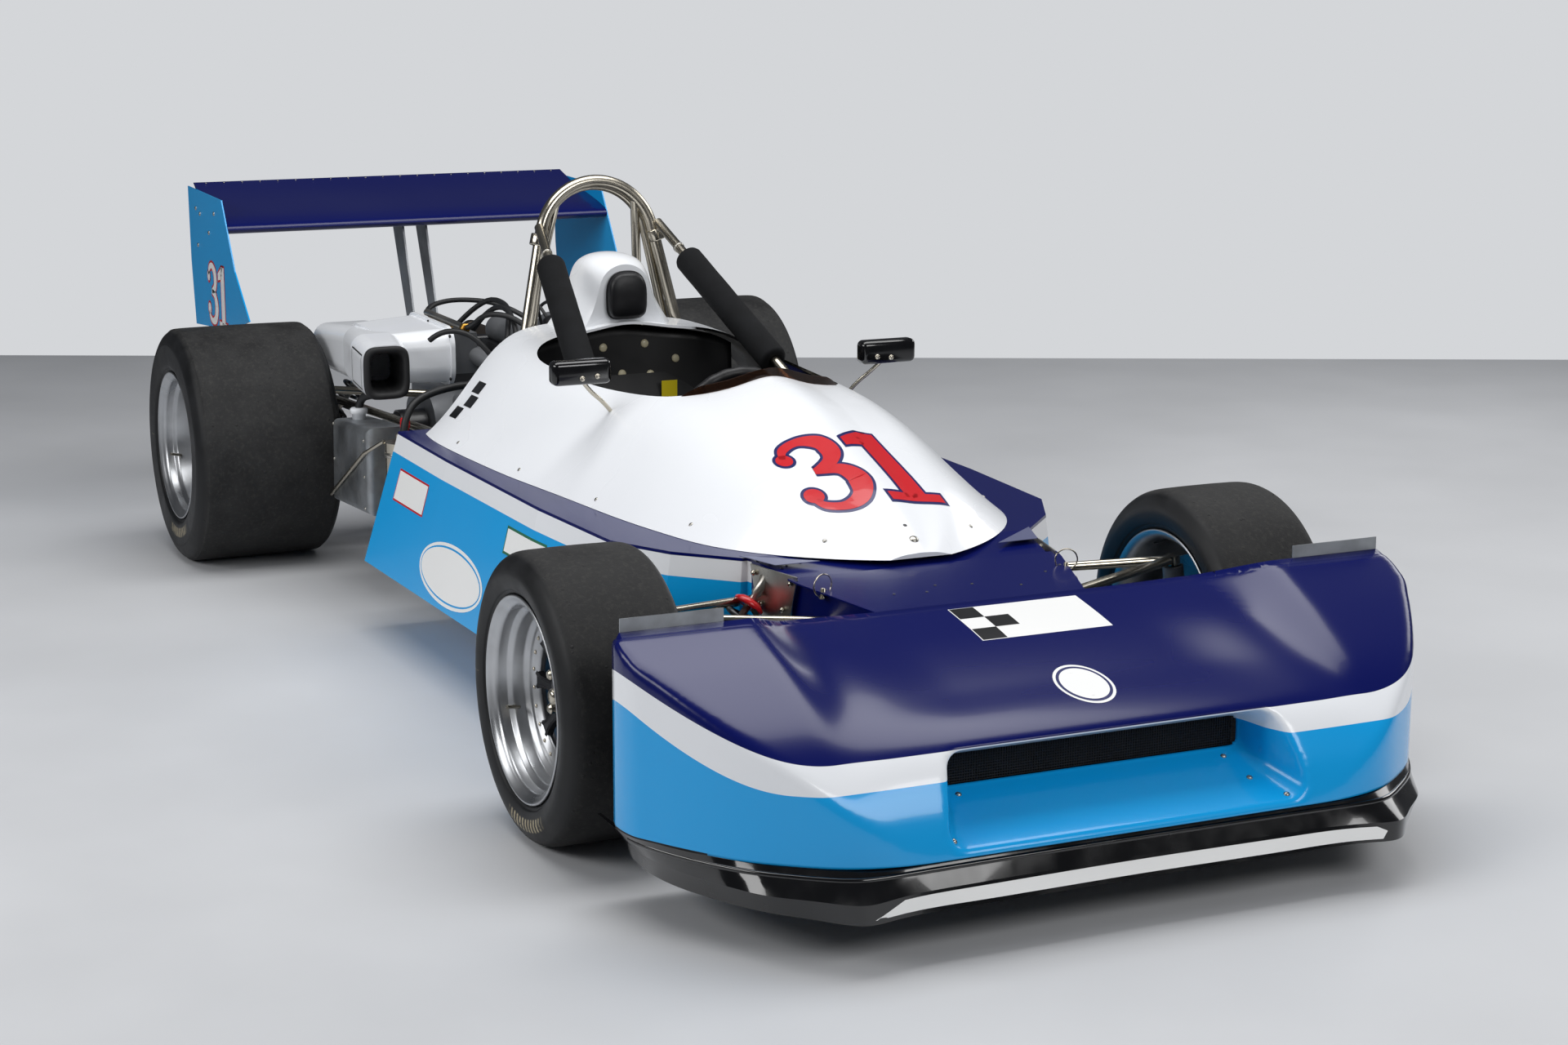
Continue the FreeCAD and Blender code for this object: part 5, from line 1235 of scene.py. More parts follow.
# Dampers with coil springs and red platforms
def damper(name, low, high, coil_radius):
    """A turned damper from its low eye to its high one, with its spring seat, cap and coil spring."""
    axis = high - low
    span = axis.length
    axis.normalize()
    body = [
        (0.0, -0.012), (0.010, -0.010), (0.013, 0.0), (0.010, 0.010), (0.010, 0.02), (0.019, 0.026),
        (0.0195, 0.19 * span), (0.0215, 0.195 * span), (0.0215, 0.27 * span), (0.0195, 0.275 * span),
        (0.0195, 0.47 * span), (0.016, 0.49 * span), (0.0065, 0.495 * span), (0.0065, 0.62 * span),
        (0.012, 0.63 * span), (0.015, 0.70 * span), (0.008, 0.72 * span), (0.0065, 0.72 * span),
        (0.0065, 0.87 * span), (0.010, 0.88 * span), (0.010, 0.94 * span), (0.013, 0.97 * span),
        (0.011, span), (0.0, span + 0.004),
    ]
    seat = [
        (0.0205, 0.205 * span), (coil_radius, 0.205 * span), (coil_radius + 0.006, 0.212 * span),
        (coil_radius + 0.006, 0.232 * span),
        (coil_radius - 0.004, 0.235 * span), (0.0205, 0.235 * span), (0.0205, 0.205 * span),
    ]
    cap = [
        (0.006, 0.80 * span), (coil_radius - 0.004, 0.80 * span), (coil_radius - 0.001, 0.805 * span),
        (coil_radius - 0.001, 0.82 * span),
        (coil_radius - 0.011, 0.84 * span), (0.006, 0.845 * span), (0.006, 0.80 * span),
    ]
    parts = [
        lathe(name, body, low, axis, steel), lathe(name, seat, low, axis, steel),
        lathe(name, cap, low, axis, red_paint),
    ]
    seed = new_mesh(name + "_seed", [(0, 0, 0)], [])
    values = {
        "Radius": coil_radius - 0.005, "Wire": 0.0052, "Turns": 7.0, "Length": 0.56 * span,
        "Base": low + axis * (0.235 * span), "Along": axis, "Material": black_steel.material,
    }
    parts.append(finish_piece(grown(name, seed, coils, values), black_steel, "chassis"))
    return parts


units = []
for hand in (-1, 1):
    units += damper("front_damper", spot(-14, hand * 500, 150), spot(-40, hand * 268, 424), 0.030)
made = joined("front_coil_units", units)
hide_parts("front_springs")
units = []
for hand in (-1, 1):
    units += damper("rear_damper", spot(-2502, hand * 470, 190), spot(-2502, hand * 230, 490), 0.032)
made = joined("rear_coil_units", units)
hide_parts("rear_springs")


# Race numbers: slab figures with an edge
def stroke(points, widths, extra=0.0, per_span=8):
    """A flat band along a curved line, with its own half width at each point."""
    line = smooth_line(points, per_span)
    wide = [w[0] for w in smooth_line([(w, 0.0) for w in widths], per_span)]
    left = []
    right = []
    for i, p in enumerate(line):
        a = line[max(0, i - 1)]
        b = line[min(len(line) - 1, i + 1)]
        dx, dy = b[0] - a[0], b[1] - a[1]
        size = math.hypot(dx, dy) or 1.0
        reach = wide[i] + extra
        left.append((p[0] - dy / size * reach, p[1] + dx / size * reach))
        right.append((p[0] + dy / size * reach, p[1] - dx / size * reach))
    return [[left[i], left[i + 1], right[i + 1], right[i]] for i in range(len(line) - 1)]


def fattened(points, extra):
    """The outline pushed outward by a width, corners kept square."""
    out = []
    count = len(points)
    for i in range(count):
        a, b, c = Vector(points[i - 1]), Vector(points[i]), Vector(points[(i + 1) % count])
        u = (b - a).normalized()
        w = (c - b).normalized()
        n1 = Vector((u.y, -u.x))
        n2 = Vector((w.y, -w.x))
        corner = (n1 + n2).normalized()
        out.append(tuple(b + corner * (extra / max(0.35, corner.dot(n1)))))
    return out


def number_31(wide, tall, extra=0.0):
    """The figures 3 and 1, in metres, from the lower left corner."""
    upper = [
        (0.15, 0.79), (0.22, 0.905), (0.40, 0.955), (0.585, 0.87), (0.635, 0.735), (0.56, 0.605),
        (0.37, 0.535),
    ]
    lower = [
        (0.34, 0.535), (0.56, 0.485), (0.665, 0.36), (0.67, 0.25), (0.58, 0.105), (0.385, 0.045),
        (0.20, 0.09), (0.13, 0.19),
    ]
    shapes = stroke(upper, [0.03, 0.045, 0.050, 0.085, 0.100, 0.070, 0.040], extra)
    shapes += stroke(lower, [0.040, 0.065, 0.105, 0.112, 0.080, 0.050, 0.045, 0.035], extra)
    shapes += [
        oval_outline(0.155, 0.765, 0.085 + extra, 0.080 + extra),
        oval_outline(0.150, 0.235, 0.100 + extra, 0.090 + extra),
    ]
    foot = [(0.86, 0.0), (1.44, 0.0), (1.44, 0.10), (0.86, 0.10)]
    stem = [(1.04, 0.02), (1.28, 0.02), (1.28, 1.0), (1.10, 1.0), (1.04, 0.97)]
    flag = [(0.84, 0.76), (1.08, 0.80), (1.20, 1.0), (1.10, 1.0), (0.84, 0.87)]
    shapes += [fattened(part, extra) if extra else part for part in (foot, stem, flag)]
    return [[(x * wide, y * tall) for x, y in shape] for shape in shapes]


EAST = Vector((1.0, 0.0, 0.0))
PORT = Vector((0.0, 1.0, 0.0))
SKY = Vector((0.0, 0.0, 1.0))
corner = spot(-105, -150, 700)
figures = number_31(0.188, 0.25, 0.030)
decal("cowl_number_edge", "cowl", figures, corner, PORT, -EAST, navy_film, 0.45)
decal("cowl_number", "cowl", number_31(0.188, 0.25), corner, PORT, -EAST, red_film, 0.8)


def flank_box(turn, x1, x2, z1, z2):
    """A film's outline on the flank from millimetres; turn -1 mirrors it for the left."""
    near, far = sorted((turn * x1 / 1000, turn * x2 / 1000))
    return box_outline(near, far, z1 / 1000, z2 / 1000)


for hand, side in SIDES:
    turn = -hand
    across = EAST * turn
    corner = spot(-3110 if hand < 0 else -2880, hand * 560, 492)
    for name, edge, film, slot, lift in (
        ("plate_number_edge_", 0.035, red_film, "pod_blue", 0.35),
        ("plate_number_", 0.0, white_film, "white_paint", 0.6),
    ):
        figures = number_31(0.150, 0.165, edge)
        decal(name + side, "wing_plates", figures, corner, across, SKY, film, lift)

    # Bare sticker places on the tub's flank, and checks on the cowl
    base = spot(0, hand * 700, 0)
    oval = (turn * -1.040, 0.228)
    films = [
        ("flank_panel_edge_", flank_box(turn, -1483, -1276, 306, 375), red_film, "pod_blue", 0.35),
        ("flank_panel_", flank_box(turn, -1479, -1280, 310, 371), white_film, "white_paint", 0.6),
        ("flank_small_edge_", flank_box(turn, -792, -589, 328, 383), green_film, "pod_blue", 0.35),
        ("flank_small_", flank_box(turn, -787, -594, 333, 378), white_film, "white_paint", 0.6),
        ("flank_oval_", oval_outline(*oval, 0.190, 0.062), white_film, "white_paint", 0.35),
        ("flank_oval_line_", oval_outline(*oval, 0.181, 0.055), blue_paint, "pod_blue", 0.6),
        ("flank_oval_field_", oval_outline(*oval, 0.177, 0.051), white_film, "white_paint", 0.85),
    ]
    for name, outline, film, slot, lift in films:
        decal(name + side, "tub", [outline], base, across, SKY, film, lift)
    slope_up = Vector((0.0, -hand * 0.66, 0.75))
    corner = spot(0, hand * 366, 515)
    squares = [(-1452, 32), (-1437, -4), (-1470, -40)]
    squares = [flank_box(turn, x, x + 52, z, z + 30) for x, z in squares]
    name = "cowl_checks_" + side
    decal(name, "cowl", squares, corner, across, slope_up, black_film, 0.4)

# Nose sticker places, splitter tape
tilt_up = Vector((-0.974, 0.0, 0.226))
corner = spot(430, -93, 396)
panel = box_outline(0.0, 0.252, 0.0, 0.128)
decal("nose_panel", "nose", [panel], corner, PORT, tilt_up, white_film, 0.4)
checks = [(0, 0), (1, 1), (0, 2)]
checks = [
    box_outline(0.002 + 0.046 * i, 0.048 + 0.046 * i, 0.002 + 0.0415 * k, 0.0435 + 0.0415 * k)
    for i, k in checks
]
decal("nose_checks", "nose", checks, corner, PORT, tilt_up, black_film, 0.7)
corner = spot(590, 8, 352)
for name, rx, ry, film, slot, lift in (
    ("nose_disc", 0.050, 0.060, white_film, "white_paint", 0.4),
    ("nose_disc_field", 0.045, 0.054, navy_film, "navy_paint", 0.65),
    ("nose_disc_middle", 0.040, 0.048, white_film, "white_paint", 0.9),
):
    decal(name, "nose", [oval_outline(0, 0, rx, ry)], corner, PORT, tilt_up, film, lift)
tape = [(-0.478, 0.087), (0.462, 0.085), (0.470, 0.098), (0.452, 0.106), (-0.420, 0.107)]
decal(
    "splitter_tape", "splitter", [tape], spot(830, 0, 0), PORT, SKY, white_film, 0.5,
    fineness=0.03,
)


# Rolled upper edge of the splitter
path = []
plan = smooth_line([(774, -300)] + [(x, -y) for x, y in NOSE_PLAN[1:-1]], 8)
outline = [(x, -y) for x, y in reversed(plan)] + [(774, 250 - 50 * i) for i in range(11)] + plan
for (x1, y1), (x2, y2), (x3, y3) in zip(outline, outline[1:], outline[2:]):
    out = Vector((y3 - y1, -(x3 - x1), 0.0)).normalized() * -1.0
    if out.x + out.y * y2 / 700 < 0:
        out = -out
    hit = surface_of("splitter").ray_cast(spot(x2, y2, 138) + out * 0.12, -out)[0]
    if hit and (hit - spot(x2, y2, 138)).length < 0.06:
        path.append(hit - out * 0.0025)
if len(path) > 20:
    tube(
        "splitter_bead", path, 0.0048, black_gelcoat, "chassis", smooth_line=False, sides=16
    )

# Headrest pad: crowned cushion on a stiff backing
def swollen(made, voxel, cap):
    """Stuffing swells a pad: a short cloth simulation under inner pressure, its result applied."""
    modified(made, "REMESH", mode="VOXEL", voxel_size=voxel)
    start = [v.co.copy() for v in made.data.vertices]
    cloth = made.modifiers.new("Cloth", "CLOTH")
    cloth.settings.use_pressure = True
    cloth.settings.uniform_pressure_force = 4.0
    cloth.settings.effector_weights.gravity = 0.0
    scene = bpy.context.scene
    for frame_number in range(1, 21):
        scene.frame_set(frame_number)
    seen = made.evaluated_get(bpy.context.evaluated_depsgraph_get())
    grown_to = [v.co.copy() for v in seen.data.vertices]
    made.modifiers.remove(cloth)
    scene.frame_set(1)
    for vert, before, after in zip(made.data.vertices, start, grown_to):
        move = after - before
        vert.co = before + move * min(1.0, cap / max(move.length, 1e-9))
    modified(made, "SUBSURF", levels=1, render_levels=1)
    made.data.shade_smooth()


def sewn_pad():
    """The headrest's crowned cushion with its piping."""
    low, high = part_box("headrest_pad")
    mid_z = (low.z + high.z) / 2
    half_y = (high.y - low.y) / 2
    half_z = (high.z - low.z) / 2
    ring = []
    for i in range(56):
        angle = math.tau * i / 56
        c, d = math.cos(angle), math.sin(angle)
        power = 2 / (5.0 if d < 0 else 2.6)
        ring.append(
            (half_y * math.copysign(abs(c) ** power, c), half_z * math.copysign(abs(d) ** power, d))
        )
    rows = [
        (0.86, 0.0), (0.98, 0.003), (0.98, 0.009), (0.975, 0.0125), (0.97, 0.019), (0.93, 0.026),
        (0.82, 0.030), (0.6, 0.0330), (0.3, 0.0345),
    ]
    verts = [
        Vector((low.x + depth - 0.002, y * scale, mid_z + z * scale))
        for scale, depth in rows
        for y, z in ring
    ]
    faces = [tuple(range(55, -1, -1))] + ring_faces(len(rows), 56)
    verts.append(Vector((low.x + 0.0328, 0, mid_z)))
    top = (len(rows) - 1) * 56
    faces += [(top + i, top + (i + 1) % 56, len(verts) - 1) for i in range(56)]
    made = outward(
        piece("headrest_cushion", verts, faces, leather, "chassis", ["headrest_pad"])
    )
    swollen(made, 0.004, 0.005)
    seam = [Vector((low.x + 0.0085, y * 0.985, mid_z + z * 0.985)) for y, z in ring]
    tube(
        "headrest_piping", seam, 0.0022, leather, "chassis", smooth_line=False, sides=10,
        cyclic=True,
    )


sewn_pad()

# Roll hoop: two bent tubes, stays, braces, clamps and feet
def hoop_at(y, z, behind=0.0):
    """A place on the hoop's leaning plane, or behind it, from millimetres."""
    return spot(-1546.6 - 0.114 * (z - 668) - behind, y, z)


def hoop_line(arch, top, slope, behind):
    """A hoop tube's line from foot to foot with a round top, and how far out its foot stands."""
    lean = math.atan(slope)
    middle = top - arch
    knee = (arch * math.cos(lean), middle + arch * math.sin(lean))
    foot = knee[0] + slope * (knee[1] - 447)
    line = [(foot, 447)]
    for i in range(41):
        angle = lean + (math.pi - 2 * lean) * i / 40
        line.append((arch * math.cos(angle), middle + arch * math.sin(angle)))
    line.append((-foot, 447))
    return [hoop_at(y, z, behind) for y, z in line], foot


outer_line, outer_foot = hoop_line(138.0, 982.5, 0.22, 0)
inner_line = hoop_line(125.6, 970.1, 0.18, 20)[0]
parts = [
    tube("hoop_outer", outer_line, 0.0135, nickel, "chassis", smooth_line=False, sides=28),
    tube("hoop_inner", inner_line, 0.0105, nickel, "chassis", smooth_line=False, sides=28),
]
for hand in (-1, 1):
    turn = Matrix.Diagonal((1, hand, 1))
    stay = [
        hoop_at(96, 940), spot(-1686, 148, 572), spot(-1690, 150, 560), spot(-1686, 153, 548),
        spot(-1577, 212, 335),
    ]
    brace = [spot(-1558, 144, 885), spot(-739, 277, 444)]
    for name, line in (("hoop_stay", stay), ("hoop_brace", brace)):
        line = [turn @ p for p in line]
        made = tube(name, line, 0.0105, nickel, "chassis", smooth_line=False, sides=24)
        parts.append(made)
    low = turn @ hoop_at(146, 842)
    high = turn @ hoop_at(139, 868)
    band = [
        (0.0136, 0), (0.0178, 0.0006), (0.0185, 0.003), (0.0185, 0.024), (0.0178, 0.0264), (0.0136, 0.027)
    ]
    parts.append(lathe("hoop_clamp", band, low, high - low, nickel, steps=32))
    ear = turn @ (hoop_at(142, 862) + Vector((0.022, 0.004, 0.008)))
    places = [(ear, (0.1, hand, 0.1)), (ear, (-0.1, -hand, -0.1))]
    parts.append(fasteners("clamp_bolts", places, 8.0, steel, "chassis", 1.2))
    for name, near, far in (
        ("hoop_foot", (-1561, outer_foot - 56, 443.6), (-1499, outer_foot + 28, 449.4)),
        ("stay_foot", (-1583, 190, 306), (-1563, 240, 354)),
        ("brace_foot", (-779, 267, 443.6), (-715, 311, 448.4)),
    ):
        parts.append(side_box(name, hand, near, far, 0.0015, nickel, "plated_tube", 2))
made = joined("plated_roll_hoop", parts)
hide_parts("roll_hoop")

# Foam sleeves on the braces
upper = spot(-1558, 144, 885)
lower = spot(-739, 277, 438)
slope = (lower - upper).normalized()
band = [(0.0105, 0), (0.0125, 0.0005), (0.0125, 0.0075), (0.0105, 0.008)]
for hand, side in SIDES:
    start = upper + slope * 0.146
    start = start if hand > 0 else flipped(start)
    line = slope if hand > 0 else flipped(slope)
    profile = [(0.0110, 0.001), (0.024, 0.0005), (0.030, 0.003), (0.0318, 0.008)]
    profile += [(0.0317 + 0.0002 * math.sin(i * 1.7), 0.012 + i * 0.0268) for i in range(14)]
    profile += [(0.0318, 0.391), (0.030, 0.396), (0.024, 0.3985), (0.0110, 0.398), (0.0110, 0.001)]
    sleeve = lathe("brace_sleeve_" + side, profile, start, line, foam, steps=40)
    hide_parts("brace_pad_" + side)
    for reach in (0.100, 0.135):
        at_band = upper + slope * reach
        lathe("brace_band", band, at_band if hand > 0 else flipped(at_band), line, steel)

# Mirrors: gloss shells on plated stalks
parts = []
foot = [(0.0, 0.006), (0.006, 0.005), (0.010, 0.0), (0.010, -0.004), (0.0, -0.004)]
for hand in (-1, 1):
    shell = (-806, 279, 658), (-768, 404, 708)
    parts.append(side_box("mirror_shell", hand, *shell, 0.012, gloss_plastic, "black_gloss"))
    glass = on_side(hand, [(-806.4, y, z) for y, z in ((286, 666), (397, 666), (397, 700), (286, 700))])
    glass = glass if hand > 0 else glass[::-1]
    parts.append(prism_piece("mirror_face", glass, 0.0012, mirror_glass, 0.0))
    stalk = on_side(hand, [(-816, 258, 584), (-812, 280, 612), (-802, 318, 642), (-790, 336, 664)])
    parts.append(tube("mirror_stalk", stalk, 0.0045, nickel, "chassis"))
    parts.append(lathe("mirror_foot", foot, spot(-816, hand * 258, 585), (0, hand * 0.5, 0.86), nickel))
    places = [(at, (1, 0, 0)) for at in on_side(hand, [(-767.5, 312, 675), (-767.5, 344, 672)])]
    parts.append(fasteners("mirror_bolts", places, 6.0, nickel, "chassis", 0.7))
made = joined("mirror_pair", parts)
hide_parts("mirrors")

# Ribbed rubber funnel in the air box mouth
def round_ring(x, y1, y2, z1, z2, ridge, count):
    """A rounded rectangle of points, every other one drawn in by the ridge."""
    ring = []
    for i in range(count):
        angle = math.tau * i / count
        c, d = math.cos(angle), math.sin(angle)
        power = 2 / 4.5
        pinch = 1.0 - (ridge if i % 2 else 0.0)
        across = (y2 - y1) / 2 * pinch * math.copysign(abs(c) ** power, c)
        rise = (z2 - z1) / 2 * pinch * math.copysign(abs(d) ** power, d)
        ring.append(spot(x, (y1 + y2) / 2 + across, (z1 + z2) / 2 + rise))
    return ring


rows = [
    (-1779.6, -496, -388, 480, 602, 0), (-1772, -496, -388, 480, 602, 0),
    (-1768.5, -493, -391, 483, 599, 0), (-1768.2, -487, -397, 489, 593, 0),
    (-1771, -483, -401, 493, 589, 0), (-1778, -480, -403, 496, 586, 0.035),
    (-1800, -477, -405, 499, 582, 0.05), (-1840, -471, -403, 503, 577, 0.05),
    (-1885, -465, -400, 506, 573, 0.05), (-1885, -467, -398, 504, 575, 0.0),
    (-1800, -481, -401, 495, 586, 0.0), (-1780, -485, -399, 491, 590, 0.0),
]
around = 96
verts = []
for row in rows:
    verts += round_ring(*row, around)
faces = ring_faces(len(rows), around, closed=True)
outward(piece("intake_funnel", verts, faces, soft_rubber, "chassis", ["intake_lip"]))
lines = [box_outline(-1.936, -1.798, 0.580, 0.5832), box_outline(-1.936, -1.798, 0.5005, 0.5037)]
lines += [box_outline(-1.801, -1.798, 0.5005, 0.583), box_outline(-1.936, -1.933, 0.5005, 0.583)]
corner = spot(0, -600, 0)
decal("airbox_panel_lines", "airbox", lines, corner, EAST, SKY, black_film, 0.4)

# Engine dress: bolts, leads, hoses and fittings
places = [
    (spot(x, -253.5, z), (0, -1, 0))
    for x, z in ((-2209, 600), (-2209, 498), (-1883, 600), (-1883, 498), (-2046, 614), (-2046, 484))
]
fasteners("flange_bolts", places, 4.5, black_steel, "chassis", 0.7)
places = [(spot(x, y, 588.5), (0, 0, 1)) for x in range(-2060, -1640, 52) for y in (-24, 24)]
fasteners("cover_nuts", places, 5.0, steel, "chassis", 0.9)
cap = [
    (0.0, 0.022), (0.017, 0.021), (0.021, 0.017), (0.021, 0.004), (0.017, 0.002), (0.017, -0.004),
    (0.0, -0.004),
]
for x, y in ((-1990, 66), (-1700, -66)):
    lathe("filler_cap", cap, spot(x, y, 615), SKY, black_steel, steps=12)
dome = [
    (0.0, 0.052), (0.020, 0.050), (0.030, 0.042), (0.032, 0.020), (0.026, 0.014), (0.026, -0.002),
    (0.0, -0.002),
]
lathe("ignition_cap", dome, spot(-1850, 0, 588), SKY, black_plastic)
for i, x in enumerate((-1690, -1770, -1930, -2020)):
    bend = 30 * (1 if i % 2 else -1)
    points = [
        (-1850 + (20 if x > -1850 else -20), bend / 2, 634), ((x - 1850) / 2, bend, 668),
        (x, bend / 2, 640), (x, 0, 588),
    ]
    hose("plug_lead", points, 0.0042)
rail = [spot(-2180, -214, 617), spot(-1890, -214, 617)]
tube("fuel_rail", rail, 0.009, steel, "chassis", smooth_line=False)
union = [(0.0, 0.0), (0.008, 0.0), (0.008, 0.010), (0.006, 0.011), (0.006, 0.020), (0.0, 0.021)]
for x in (-2155, -2080, -2000, -1925):
    lathe("rail_union", union, spot(x, -214, 598), SKY, brass, steps=6, smooth=False)
runs = [
    [(-1890, -214, 617), (-1850, -214, 622), (-1790, -190, 668), (-1720, -120, 650), (-1660, -60, 560)],
    [(-2180, -214, 617), (-2215, -200, 628), (-2230, -120, 640), (-2150, -20, 632), (-2090, 30, 590)],
    [
        (-1960, -170, 600), (-1900, -150, 662), (-1800, -130, 672), (-1690, -150, 600), (-1640, -180, 480),
        (-1600, -220, 400),
    ],
    [
        (-2040, -180, 606), (-1990, -130, 676), (-1880, -105, 668), (-1760, -150, 640), (-1650, -200, 560),
        (-1590, -250, 420),
    ],
    [(-1800, -330, 606), (-1775, -300, 640), (-1730, -220, 610), (-1690, -180, 520)],
]
for points in runs:
    hose("engine_hose", points, 0.0065)
rail_end = [(0.0, -0.004), (0.012, -0.004), (0.012, 0.010), (0.009, 0.012), (0.009, 0.020), (0.0, 0.020)]
lathe("rail_end", rail_end, spot(-1892, -214, 617), EAST, brass, steps=6, smooth=False)
water = [(-1642, -40, 520), (-1610, -60, 530), (-1585, -120, 470), (-1566, -150, 400)]
hose("water_hose", water, 0.017, sides=16)

# Tanks: neck, hoses, rivets, stays and bands
neck = [
    (0.0, 0.030), (0.018, 0.029), (0.021, 0.026), (0.021, 0.016), (0.016, 0.014), (0.016, -0.006),
    (0.0, -0.006),
]
lathe("tank_neck", neck, spot(-1985, -450, 398), SKY, white_paint)
hose("tank_hose", [(-1985, -450, 424), (-1985, -445, 452), (-1950, -425, 462), (-1930, -400, 470)], 0.010)
places = [(spot(x, -500.5, z), (0, -1, 0)) for x in (-2030, -1780) for z in (225, 300, 385)]
fasteners("tank_rivets", places, 4.0, steel, "chassis", 0.6)
for points in (
    [(-1668, -486, 402), (-1760, -505, 360), (-2046, -506, 212)],
    [(-1640, -470, 396), (-1610, -440, 385), (-1564, -410, 362)],
    [(-1640, -478, 232), (-1610, -470, 270), (-1564, -455, 330)],
):
    points = [spot(*p) for p in points]
    tube("tank_stay", points, 0.0048, nickel, "chassis", smooth_line=False)
band = [(0.0441, -0.006), (0.0452, -0.0055), (0.0456, 0.0), (0.0452, 0.0055), (0.0441, 0.006)]
for z in (236, 300, 372):
    lathe("tank_band", band, spot(-1660, -440, z), SKY, steel, steps=48)
union = [
    (0.0, 0.03), (0.010, 0.03), (0.012, 0.02), (0.012, 0.008), (0.009, 0.006), (0.009, 0.0), (0.0, 0.0),
]
lathe("tank_union", union, spot(-1715, -420, 414), SKY, red_paint, steps=12)
hose("oil_line", [(-1760, -396, 250), (-1750, -330, 215), (-1780, -220, 190), (-1790, -130, 200)], 0.011)
breather = [
    (-1660, -440, 418), (-1662, -438, 456), (-1690, -390, 500), (-1700, -250, 520), (-1700, -130, 500),
]
hose("tank_breather", breather, 0.009)

# Front brackets, clips, gussets and screws
pin = [(0.0, 0.016), (0.004, 0.015), (0.004, 0.002), (0.007, 0.001), (0.007, -0.003), (0.0, -0.003)]
for hand in (-1, 1):
    outline = [(-72, 292, 438), (60, 262, 438), (40, 266, 356), (-10, 277, 336), (-52, 287, 356)]
    outline = on_side(hand, outline if hand < 0 else outline[::-1])
    prism_piece("damper_bracket", outline, 0.003, steel, 0.0006)
    places = [(-58, 293, 424), (46, 269, 424), (24, 274, 372), (-38, 288, 372), (-8, 281, 350)]
    places = [(at, (0.2, hand, 0)) for at in on_side(hand, places)]
    fasteners("bracket_bolts", places, 5.5, nickel, "chassis", 0.7)
    eye = spot(128, hand * 244, 417)
    loop_points = [
        eye + Vector((0.006 * math.cos(t), hand * 0.020 * math.cos(t), 0.020 + 0.020 * math.sin(t)))
        for t in [math.tau * i / 18 for i in range(18)]
    ]
    tube("clip_loop", loop_points, 0.0014, nickel, "chassis", cyclic=True)
    lathe("clip_pin", pin, eye, SKY, nickel)
for hand in (-1, 1):
    outline = [(-104, 299, 445.5), (-16, 268, 444), (-12, 182, 444.5)]
    outline = on_side(hand, outline if hand < 0 else outline[::-1])
    prism_piece("bracket_gusset", outline, 0.0012, grey_paint, 0.0003)


def snapped(node, p):
    """The place on a node's surface straight under p, with the surface's direction."""
    found = surface_of(node).ray_cast(p + SKY * 0.2, -SKY)
    if found[0] is None:
        found = surface_of(node).find_nearest(p)
    return found[0], found[1]


screws = [
    ("tub", -33, -238), ("tub", -50, -262), ("tub", -40, -208), ("tub", -72, -278), ("tub", -22, -252)
]
screws += [
    ("scuttle_panel", x, y)
    for x, y in (
        (179, -131), (185, -70), (157, -39), (169, 28), (147, 190), (60, -262), (120, -235), (60, 262),
        (120, 235), (200, 110),
    )
]
places = [snapped(node, spot(x, y, 500)) for node, x, y in screws]
fasteners("scuttle_screws", places, 3.0, black_steel, "chassis", 0.5)
latch = [snapped("cowl", spot(-1, 1, 500))]
fasteners("cowl_latch", latch, 9.0, steel, "chassis", 0.35)
hole = [snapped("cowl", spot(-35, 0, 500))]
fasteners("cowl_hole", hole, 4.0, black_steel, "chassis", 0.2)
places = [
    snapped("cowl", spot(x, hand * y, 600))
    for x, y in ((-60, 150), (-300, 310), (-620, 375), (-960, 412), (-1300, 430))
    for hand in (-1, 1)
]
fasteners("cowl_screws", places, 4.5, steel, "chassis", 0.4)
places = [(755, -318), (700, 262), (752, 300), (640, -250), (640, 250)]
places = [snapped("nose", spot(x, y, 60)) for x, y in places]
fasteners("duct_bolts", places, 5.5, steel, "chassis", 0.6)

# Wing: rivets along the rear lip, and the plates' fasteners
WING_TILT = math.radians(14)
trail = spot(-2868 - 384 * math.cos(WING_TILT), 0, 762 + 384 * math.sin(WING_TILT))
slope = Vector((math.cos(WING_TILT), 0, -math.sin(WING_TILT)))
places = [
    (trail + slope * 0.012 + Vector((0, -0.50 + 0.05 * i, 0.0015)), (0.24, 0, 0.97)) for i in range(21)
]
fasteners("lip_rivets", places, 2.6, steel, "chassis", 0.6)
places = []
for hand in (-1, 1):
    for x, z in ((-3161, 778), (-3066, 736), (-3206, 789), (-3002, 793), (-3195, 690)):
        places.append((spot(x, hand * 535.6, z), (0, hand, 0)))
fasteners("plate_bolts", places, 6.0, steel, "chassis", 0.55)

# Steering wheel: padded rim, spokes with eyelets, centre boss
centre = spot(-800, 0, 545)
COLUMN_TILT = math.radians(16)
axis = Vector((math.cos(COLUMN_TILT), 0, -math.sin(COLUMN_TILT)))
face = axis.to_track_quat("Z", "Y").to_matrix()


def on_wheel(angle, reach, lift):
    """A place on the steering wheel, at a turn and a reach from its centre and so far ahead of it."""
    return centre + face @ Vector((reach * math.cos(angle), reach * math.sin(angle), lift))


